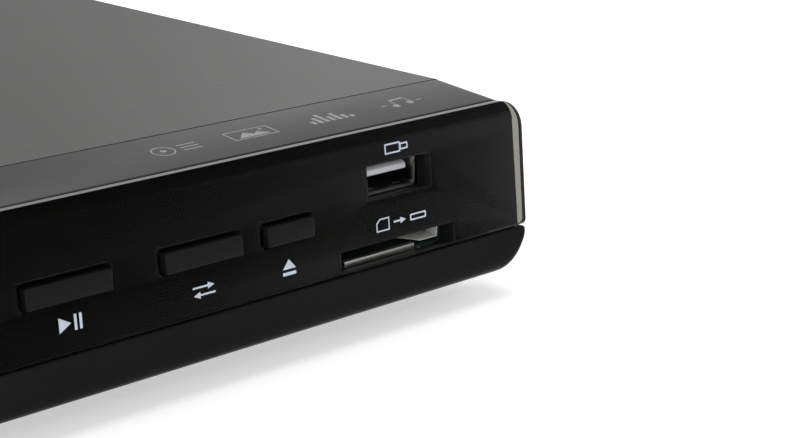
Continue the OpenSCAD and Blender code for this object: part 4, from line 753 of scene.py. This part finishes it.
# ---- keys ----
for key, node in keyNodes.items():
    x = middleOf(node)
    w = keyWidths[key]
    back = boxOf(node)[1].y
    cap = Shape()
    outline = roundRect(x - w / 2, keyLook["low"], w, keyLook["height"], keyLook["corner"], 5)
    cap.plate([outline], keyLook["back"] + keyLook["proud"], keyLook["edge"], frontPlane(keyLook["back"]), 4)
    for point in cap.mesh.verts:
        if point.co.y < refY + keyLook["face"]:  # a slightly crowned face
            point.co.y += keyLook["crown"] * ((point.co.x - x) / (w / 2)) ** 2
    lap = keyLook["lap"]
    flange = roundRect(x - w / 2 - lap, keyLook["low"] - lap, w + 2 * lap, keyLook["height"] + 2 * lap,
                       keyLook["flangeCorner"])
    flangeBack = keyLook["back"] + keyLook["flange"]
    cap.plate([flange], keyLook["flange"], keyLook["flangeEdge"], frontPlane(flangeBack))
    root = onFront(x, keyLook["low"] + keyLook["height"] / 2, flangeBack)
    cap.lathe([(0, root.y), (keyLook["stem"], root.y), (keyLook["stem"], back - keyLook["stemEdge"]),
               (keyLook["stemTip"], back), (0, back)], (x, 0, root.z), "Y", 24)
    cap.piece("key_" + key, bodyOf(node), "key_black", [node])
print("keys made")

# ---- tray door with the lugs that hold it to the tray ----
doorShape = Shape()
doorOutline = roundRect(doorLow.x, door["low"], doorW, door["height"], door["corner"])
doorShape.plate([doorOutline], door["thick"], door["edge"], frontPlane(door["thick"]), 4)
lugFront = onFront(0, door["low"] + door["height"] / 2, door["thick"] - door["lugIn"]).y
for offset in row(door["lugs"], (doorW - door["ends"]) * door["spread"]):
    middle = (doorLow.x + doorHigh.x) / 2 + offset
    lugX = (middle - door["lugWide"] / 2, middle + door["lugWide"] / 2)
    doorShape.block(lugX, (lugFront, doorHigh.y), door["lugZ"], door["lugEdge"])
doorShape.piece("door_panel", "tray", "black_gloss", ["tray_door"])

# ---- data port: folded shell and tongue ----
port = {"sheet": 0.35, "mouth": 5.1, "corner": 0.7, "fold": 0.8, "rear": 0.4,
        "flare": ((0, 0.25), (0.25, 0.175), (0.7, 0.05), (1.2, 0.0))}  # (depth, how far it opens)
shellLow, shellHigh = boxOf("usb_shell")
shellX = portWindow["x"]
shellZ = (shellLow.z + shellHigh.z) / 2
shellW = shellHigh.x - shellX
shellH = port["mouth"] / 2 + port["sheet"]


def shellRing(y, grow, sheet):
    w = shellW + grow - sheet
    h = shellH + grow - sheet
    loop = roundRect(shellX - w, shellZ - h, 2 * w, 2 * h, port["corner"] - sheet * port["fold"], 4)
    return [(x, y, z) for x, z in loop]


shellStops = [(shellLow.y + depth, grow) for depth, grow in port["flare"]]
shellRings = [shellRing(y, grow, 0) for y, grow in shellStops + [(shellHigh.y, 0.0)]]
shellRings += [shellRing(shellHigh.y - port["rear"], 0.0, port["sheet"])]
shellRings += [shellRing(y, grow, port["sheet"]) for y, grow in reversed(shellStops)]
shell = Shape().loft(shellRings).plain("port_shell")
work = bmesh.new()
work.from_mesh(shell.data)
nearMouth = (shellLow.y + 2) * mm
caps = [face for face in work.faces if len(face.verts) > 4 and face.calc_center_median().y < nearMouth]
bmesh.ops.delete(work, geom=caps, context="FACES")
bmesh.ops.bridge_loops(work, edges=[edge for edge in work.edges if edge.is_boundary])
bmesh.ops.recalc_face_normals(work, faces=work.faces[:])
work.to_mesh(shell.data)
work.free()
finishPiece(shell, "case", "port_steel", ["usb_shell"], 50)

tongue = {"bevelX": 0.6, "bevelZ": 0.3,  # and its rounded nose: (depth, in at the sides, up, down)
          "nose": ((0, 0.3, 0.3, 0.6), (0.25, 0.12, 0.12, 0.4), (0.9, 0.02, 0, 0.1), (1.4, 0, 0, 0))}
tongueLow, tongueHigh = boxOf("usb_tongue")


def tongueRing(y, inset, up, down):
    left = tongueLow.x + inset
    right = tongueHigh.x - inset
    low = tongueLow.z + up
    top = tongueHigh.z - down
    bevel = tongue["bevelX"]
    shoulder = top - tongue["bevelZ"]
    return [(left, y, low), (right, y, low), (right, y, shoulder), (right - bevel, y, top),
            (left + bevel, y, top), (left, y, shoulder)]


tongueRings = [tongueRing(tongueLow.y + depth, *insets) for depth, *insets in tongue["nose"]]
tongueRings.append(tongueRing(tongueHigh.y, 0, 0, 0))
Shape().loft(tongueRings).piece("usb_blade", "case", "tongue_plastic", ["usb_tongue"], 25)

# ---- card socket: plastic tub, steel lid and lip, bent guide ----
# across from the slot's middle, in from the socket's front, and up from the front's reference line
socket = {"front": 0.4, "floor": 0.85, "rails": (-12.25, 12.45), "stop": 1.0, "stopIn": 0.5, "lid": 0.33,
          "lip": (-11.5, 6.3), "lipLow": 0.45, "lipTop": 1.65, "lipThick": 0.3, "lipDeep": (0.1, 1.0),
          "lipSheet": 0.2, "guide": ((12.4, 0.1), (12.4, 14), (2.1, 14), (5.3, 5.3), (7.9, 0.1)),
          "guideSheet": 0.2, "guideLow": 1.9, "guideTop": 3.9, "guideLong": (0.1, 3.4), "wing": 2.6,
          "wingLap": 0.1, "wingDeep": (1.6, 2.6), "wingHigh": (-0.4, 5.6), "tubTop": 0.35,
          "tubEdge": 0.1, "fineEdge": 0.05, "sheetEdge": 0.08, "lipEdge": 0.06}
cardLow, cardHigh = boxOf("card_socket")
cardX = cardWindow["x"]


def behindCard(depths):
    return [cardLow.y + depth for depth in depths]


def aboveFoot(heights):
    return [refZ + height for height in heights]


tub = Shape()
fine = socket["fineEdge"]
inTub = (cardLow.y + socket["front"], cardHigh.y)
tubHigh = (refZ + socket["floor"], cardHigh.z - socket["tubTop"])
tub.block((cardLow.x, cardHigh.x), inTub, (cardLow.z, refZ + socket["floor"]), socket["tubEdge"])
tub.block((cardLow.x, cardX + socket["rails"][0]), inTub, tubHigh, fine)
tub.block((cardX + socket["rails"][1], cardHigh.x), inTub, tubHigh, fine)
tub.block((cardLow.x + socket["stopIn"], cardHigh.x - socket["stopIn"]),
          (cardHigh.y - socket["stop"], cardHigh.y), tubHigh, fine)
lap = socket["wingLap"]
for wing in ((cardLow.x - socket["wing"], cardLow.x + lap), (cardHigh.x - lap, cardHigh.x + socket["wing"])):
    tub.block(wing, behindCard(socket["wingDeep"]), aboveFoot(socket["wingHigh"]), fine)
steel = Shape()
lipX = [cardX + x for x in socket["lip"]]
lipZ = (socket["lipLow"], socket["lipTop"])
lipRoof = (socket["lipTop"] - socket["lipSheet"], socket["lipTop"])
lidZ = (cardHigh.z - socket["lid"], cardHigh.z)
steel.block((cardLow.x, cardHigh.x), (cardLow.y, cardHigh.y), lidZ, socket["sheetEdge"])
steel.block(lipX, behindCard((0, socket["lipThick"])), aboveFoot(lipZ), socket["sheetEdge"])
steel.block(lipX, behindCard(socket["lipDeep"]), aboveFoot(lipRoof), socket["lipEdge"])
guide = Shape()
guideOutline = [(cardX + x, cardLow.y + depth) for x, depth in socket["guide"]]
guideBase = Matrix.Translation((0, 0, refZ + socket["guideLow"] - socket["guideSheet"]))
guide.plate([guideOutline], socket["guideSheet"], fine, guideBase)
guideEnd = cardX + socket["rails"][1]
guide.block((guideEnd - socket["guideSheet"], guideEnd), behindCard(socket["guideLong"]),
            aboveFoot((socket["guideLow"], socket["guideTop"])), fine)
socketPlastic = mouldedPlastic("socketPlastic", (0.008, 0.014, 0.016), 0.4)
cardSteel = metalSheet("cardSteel", (0.5, 0.49, 0.465), 0.4)
guideTin = mouldedPlastic("guideTin", (0.5, 0.5, 0.46), 0.4)
tub.piece("card_tub", "case", "port_steel", material=socketPlastic)
steel.piece("card_frame", "case", "port_steel", ["card_socket"], material=cardSteel)
guide.piece("card_guide", "case", "port_steel", material=guideTin)
print("ports made")

# ---- printed signs on the panel and on the top strip ----
signs = {"ink": 0.02, "line": 0.3, "lift": 0.002, "stripLift": 0.004, "stripBack": 13.3,
         "stripX": (103.4, 120.7, 139.1, 157.2), "arrowHead": 1.4, "arrowWide": 0.62, "shaft": 0.17,
         "panelInk": (0.55, 0.6, 0.68), "stripInk": (0.26, 0.26, 0.265)}


def framed(x, v, w, h):  # a rectangle's outline
    line = signs["line"]
    return [roundRect(x, v, w, h, 0.2, 3), roundRect(x + line, v + line, w - 2 * line, h - 2 * line, 0.1, 3)]


def bar(x, v, w, h):
    return [[(x, v), (x + w, v), (x + w, v + h), (x, v + h)]]


def arrow(start, end, v):
    back = end - math.copysign(signs["arrowHead"], end - start)
    half = signs["shaft"]
    wide = signs["arrowWide"]
    return [[(start, v - half), (back, v - half), (back, v - wide), (end, v),
             (back, v + wide), (back, v + half), (start, v + half)]]


def ringed(x, v, r):
    return [arc(x, v, r, 0, 350, 35)]


def printed(signSets, planes, thick, name, slot, ink):  # each set is drawn about its own plane's middle
    made = Shape()
    for loopSets, plane in zip(signSets, planes):
        for loops in loopSets:
            made.plate(loops, thick, 0, plane)
    made.piece(name, "case", slot, material=ink)


panelSigns = {
    middleOf("button_play"): (
        [[(-2.2, 4.2), (0.1, 5.55), (-2.2, 6.9)]], bar(0.7, 4.2, 0.5, 2.7), bar(1.7, 4.2, 0.5, 2.7)),
    middleOf("button_sound"): (arrow(-2.5, 2.1, 5.6), arrow(2.2, -2.4, 4.2)),
    middleOf("button_eject"): ([[(-1.9, 4.5), (1.1, 4.5), (-0.4, 6.3)]], bar(-1.9, 3.35, 3.0, 0.6)),
    shellX: (framed(-3.4, 21.0, 3.9, 2.0), framed(0.4, 21.35, 2.0, 1.3)),
    cardX: (
        [[(-5.5, 6.7), (-2.2, 6.7), (-2.2, 9.2), (-4.6, 9.2), (-5.5, 8.4)],
         [(-5.25, 6.95), (-2.45, 6.95), (-2.45, 8.95), (-4.5, 8.95), (-5.25, 8.25)]],
        arrow(-1.1, 2.0, 7.95), framed(3.1, 7.3, 4.1, 1.3)),
}
panelPlanes = [frontPlane(signs["lift"], x) for x in panelSigns]
printed(panelSigns.values(), panelPlanes, signs["ink"], "panel_print", "smoked_acrylic",
        printInk("labelInk", signs["panelInk"]))
stripSigns = (
    [ringed(-2, 0, 2.3) + ringed(-2, 0, 2.0) + ringed(-2, 0, 0.6)]
    + [bar(1.6, v, 4.0, 0.35) for v in (-1.5, -0.2, 1.1)],
    [framed(-5, -2.3, 10, 4.6), [[(-3.6, -1.6), (3.6, -1.6), (1.6, 0.5), (0.4, -0.6), (-1.2, 1.0)]],
     ringed(2.9, 1.2, 0.45)],
    [bar(-5.2 + 1.55 * k, -2.3, 0.9, tall) for k, tall in enumerate((1.6, 3.2, 4.6, 2.6, 3.9, 2.2, 1.2))],
    [ringed(-2.1, -1.6, 0.8), ringed(1.9, -1.1, 0.8), bar(-1.6, -1.6, 0.3, 3.4), bar(2.4, -1.1, 0.3, 3.4),
     [[(-1.6, 1.2), (2.7, 1.7), (2.7, 2.4), (-1.6, 1.9)]]] + [bar(x, -0.7, 1.6, 0.3) for x in (-5.2, 3.9)])
signY = refY + signs["stripBack"]
signZ = seamZ + (signY - seamY) * tanFall + signs["stripLift"]
stripPlanes = [Matrix.Translation((x, signY, signZ)) @ Matrix.Rotation(fall, 4, "X") for x in signs["stripX"]]
printed(stripSigns, stripPlanes, signs["ink"] / 2, "strip_print", "black_gloss",
        printInk("stripInk", signs["stripInk"]))
print("signs printed")


# ---- what repeats: one unit set out by Geometry Nodes ----
def setOut(name, unit, spots, slot, replaces=(), turn=0.0, seed=5):  # spots of (place, way it faces)
    points = bpy.data.meshes.new(name + "Points")
    points.from_pydata([Vector(spot) * mm for spot, facing in spots], [], [])
    facings = points.attributes.new("facing", "FLOAT_VECTOR", "POINT")
    for k, (spot, facing) in enumerate(spots):
        facings.data[k].vector = facing
    holder = linked(name + "Points", points)
    group = bpy.data.node_groups.new(name + "Layout", "GeometryNodeTree")
    inputs = {"Points": "Geometry", "Unit": "Object", "Turn": "Float", "Seed": "Int", "Finish": "Material"}
    for label, kind in inputs.items():
        group.interface.new_socket(label, in_out="INPUT", socket_type="NodeSocket" + kind)
    group.interface.new_socket("Result", in_out="OUTPUT", socket_type="NodeSocketGeometry")
    kinds = {"entry": "NodeGroupInput", "leave": "NodeGroupOutput",
             "facing": "GeometryNodeInputNamedAttribute",
             "aim": "FunctionNodeAlignRotationToVector", "chance": "FunctionNodeRandomValue",
             "spin": "FunctionNodeAxisAngleToRotation", "turned": "FunctionNodeRotateRotation",
             "unit": "GeometryNodeObjectInfo", "copies": "GeometryNodeInstanceOnPoints",
             "real": "GeometryNodeRealizeInstances", "coat": "GeometryNodeSetMaterial"}
    made = {key: group.nodes.new(kind) for key, kind in kinds.items()}
    made["facing"].data_type = "FLOAT_VECTOR"
    made["facing"].inputs["Name"].default_value = "facing"
    made["aim"].axis = "Z"
    made["chance"].data_type = "FLOAT"
    made["turned"].rotation_space = "LOCAL"

    def join(start, output, end, label):  # only a node's shown sockets, because hidden ones share their names
        outputs = [socket for socket in made[start].outputs if socket.enabled and socket.name == output]
        sockets = [socket for socket in made[end].inputs if socket.enabled and socket.name == label]
        group.links.new(outputs[0], sockets[0])

    join("facing", "Attribute", "aim", "Vector")
    join("entry", "Turn", "chance", "Max")
    join("entry", "Seed", "chance", "Seed")
    join("chance", "Value", "spin", "Angle")
    join("aim", "Rotation", "turned", "Rotation")
    join("spin", "Rotation", "turned", "Rotate By")
    join("entry", "Unit", "unit", "Object")
    join("entry", "Points", "copies", "Points")
    join("unit", "Geometry", "copies", "Instance")
    join("turned", "Rotation", "copies", "Rotation")
    join("copies", "Instances", "real", "Geometry")
    join("real", "Geometry", "coat", "Geometry")
    join("entry", "Finish", "coat", "Material")
    join("coat", "Geometry", "leave", "Result")
    layout = holder.modifiers.new("layout", "NODES")
    layout.node_group = group
    wanted = {"Unit": unit, "Turn": turn, "Seed": seed, "Finish": finishes[slot]}
    for socket in group.interface.items_tree:
        if socket.name in wanted:
            layout[socket.identifier] = wanted[socket.name]
    data = settledMesh(holder)
    holder.modifiers.clear()
    bpy.data.objects.remove(holder)
    bpy.data.objects.remove(unit)
    finishPiece(linked(name, data), "case", slot, replaces)


def solidsOf(node):  # the lowest and highest corners of a node's separate solids
    work = bmesh.new()
    work.from_mesh(nodes[node].data)
    bmesh.ops.remove_doubles(work, verts=work.verts[:], dist=1e-6)
    left = set(work.verts)
    found = []
    while left:
        group = {left.pop()}
        edge = set(group)
        while edge:
            edge = {link.other_vert(vert) for vert in edge for link in vert.link_edges} - group
            group |= edge
        left -= group
        spots = [nodes[node].matrix_world @ vert.co / mm for vert in group]
        found.append([[pick(spot[k] for spot in spots) for k in range(3)] for pick in (min, max)])
    work.free()
    return sorted(found)


# screws of the cover, each where the CAD has one, with its crossed slot turned by chance
screw = {"radius": 2.55, "head": 1.6, "shank": 1.35, "deep": 4.0, "dome": 0.4, "bevel": 0.3, "crown": 0.6,
         "crownDrop": 0.08, "slot": 3.4, "slotWide": 0.55, "slotDeep": 0.8, "seed": 11}
head = Shape()
head.lathe([(0, -screw["deep"]), (screw["shank"], -screw["deep"]), (screw["shank"], -screw["head"]),
            (screw["radius"], -screw["head"]), (screw["radius"], -2 * screw["dome"]),
            (screw["radius"] - screw["bevel"], -screw["dome"]),
            (screw["radius"] * screw["crown"], -screw["crownDrop"]), (0, 0)], (0, 0, 0))
cross = Shape()
slotSize = (screw["slot"] / 2, screw["slotWide"] / 2)
for long, thin in (slotSize, slotSize[::-1]):
    cross.block((-long, long), (-thin, thin), (-screw["slotDeep"], 1), 0.05, 1)
screwUnit = combine(head.plain("screwUnit"), [cross.plain("cross")])
screwSpots = []
for low, high in solidsOf("cover_screws"):
    x, y, z = [(a + b) / 2 for a, b in zip(low, high)]
    if high[1] - low[1] > high[0] - low[0]:  # a screw is longer than its head is wide: one in the rear
        screwSpots.append(((x, high[1], z), (0, 1, 0)))
    elif x > 0:
        screwSpots.append(((high[0], y, z), (1, 0, 0)))
    else:
        screwSpots.append(((low[0], y, z), (-1, 0, 0)))
setOut("cover_fixings", screwUnit, screwSpots, "screw_zinc", ["cover_screws"], 6.28, screw["seed"])
print("cover screws:", len(screwSpots))

# two spring fingers on the port's floor
finger = {"wide": 1.7, "long": 5.0, "rise": 0.55, "sheet": 0.15, "pitch": 6.8, "from": 1.6,
          "bend": ((0, 0), (0.25, 0.0), (0.62, 1.0), (0.8, 0.85), (1.0, 0.35))}  # shares of long and rise
under = [(share * finger["long"], rise * finger["rise"]) for share, rise in finger["bend"]]
fingerLoop = under + [(y, z + finger["sheet"]) for y, z in reversed(under)]
fingerRings = [[(x * finger["wide"], y, z) for y, z in fingerLoop] for x in (-0.5, 0.5)]
fingerUnit = Shape().loft(fingerRings).plain("fingerUnit")
fingerStart = Vector((shellX, shellLow.y + finger["from"], shellZ - shellH + port["sheet"]))
fingerSpots = [(fingerStart + Vector((x, 0, 0)), (0, 0, 1)) for x in row(2, finger["pitch"])]
setOut("port_fingers", fingerUnit, fingerSpots, "port_steel")


def contactRow(name, look, start):  # flat contacts side by side, hanging from start
    halfWide = look["wide"] / 2
    strip = Shape().block((-halfWide, halfWide), (0, look["long"]), (-look["thick"], 0), 0.03, 1)
    spots = [(start + Vector((x, 0, 0)), (0, 0, 1)) for x in row(look["count"], look["pitch"])]
    setOut(name, strip.plain(name + "Unit"), spots, "gold_brass")


portContact = {"count": 4, "wide": 1.0, "long": 6.5, "thick": 0.12, "pitch": 2.3, "from": 1.2}
cardContact = {"count": 9, "wide": 0.8, "long": 4.5, "thick": 0.12, "pitch": 2.5, "from": 6.0, "under": 0.35}
contactRow("port_contacts", portContact,
           Vector((middleOf("usb_tongue"), tongueLow.y + portContact["from"], tongueLow.z)))
contactRow("card_contacts", cardContact,
           Vector((cardX, cardLow.y + cardContact["from"], cardHigh.z - cardContact["under"])))
print("repeated parts set out")
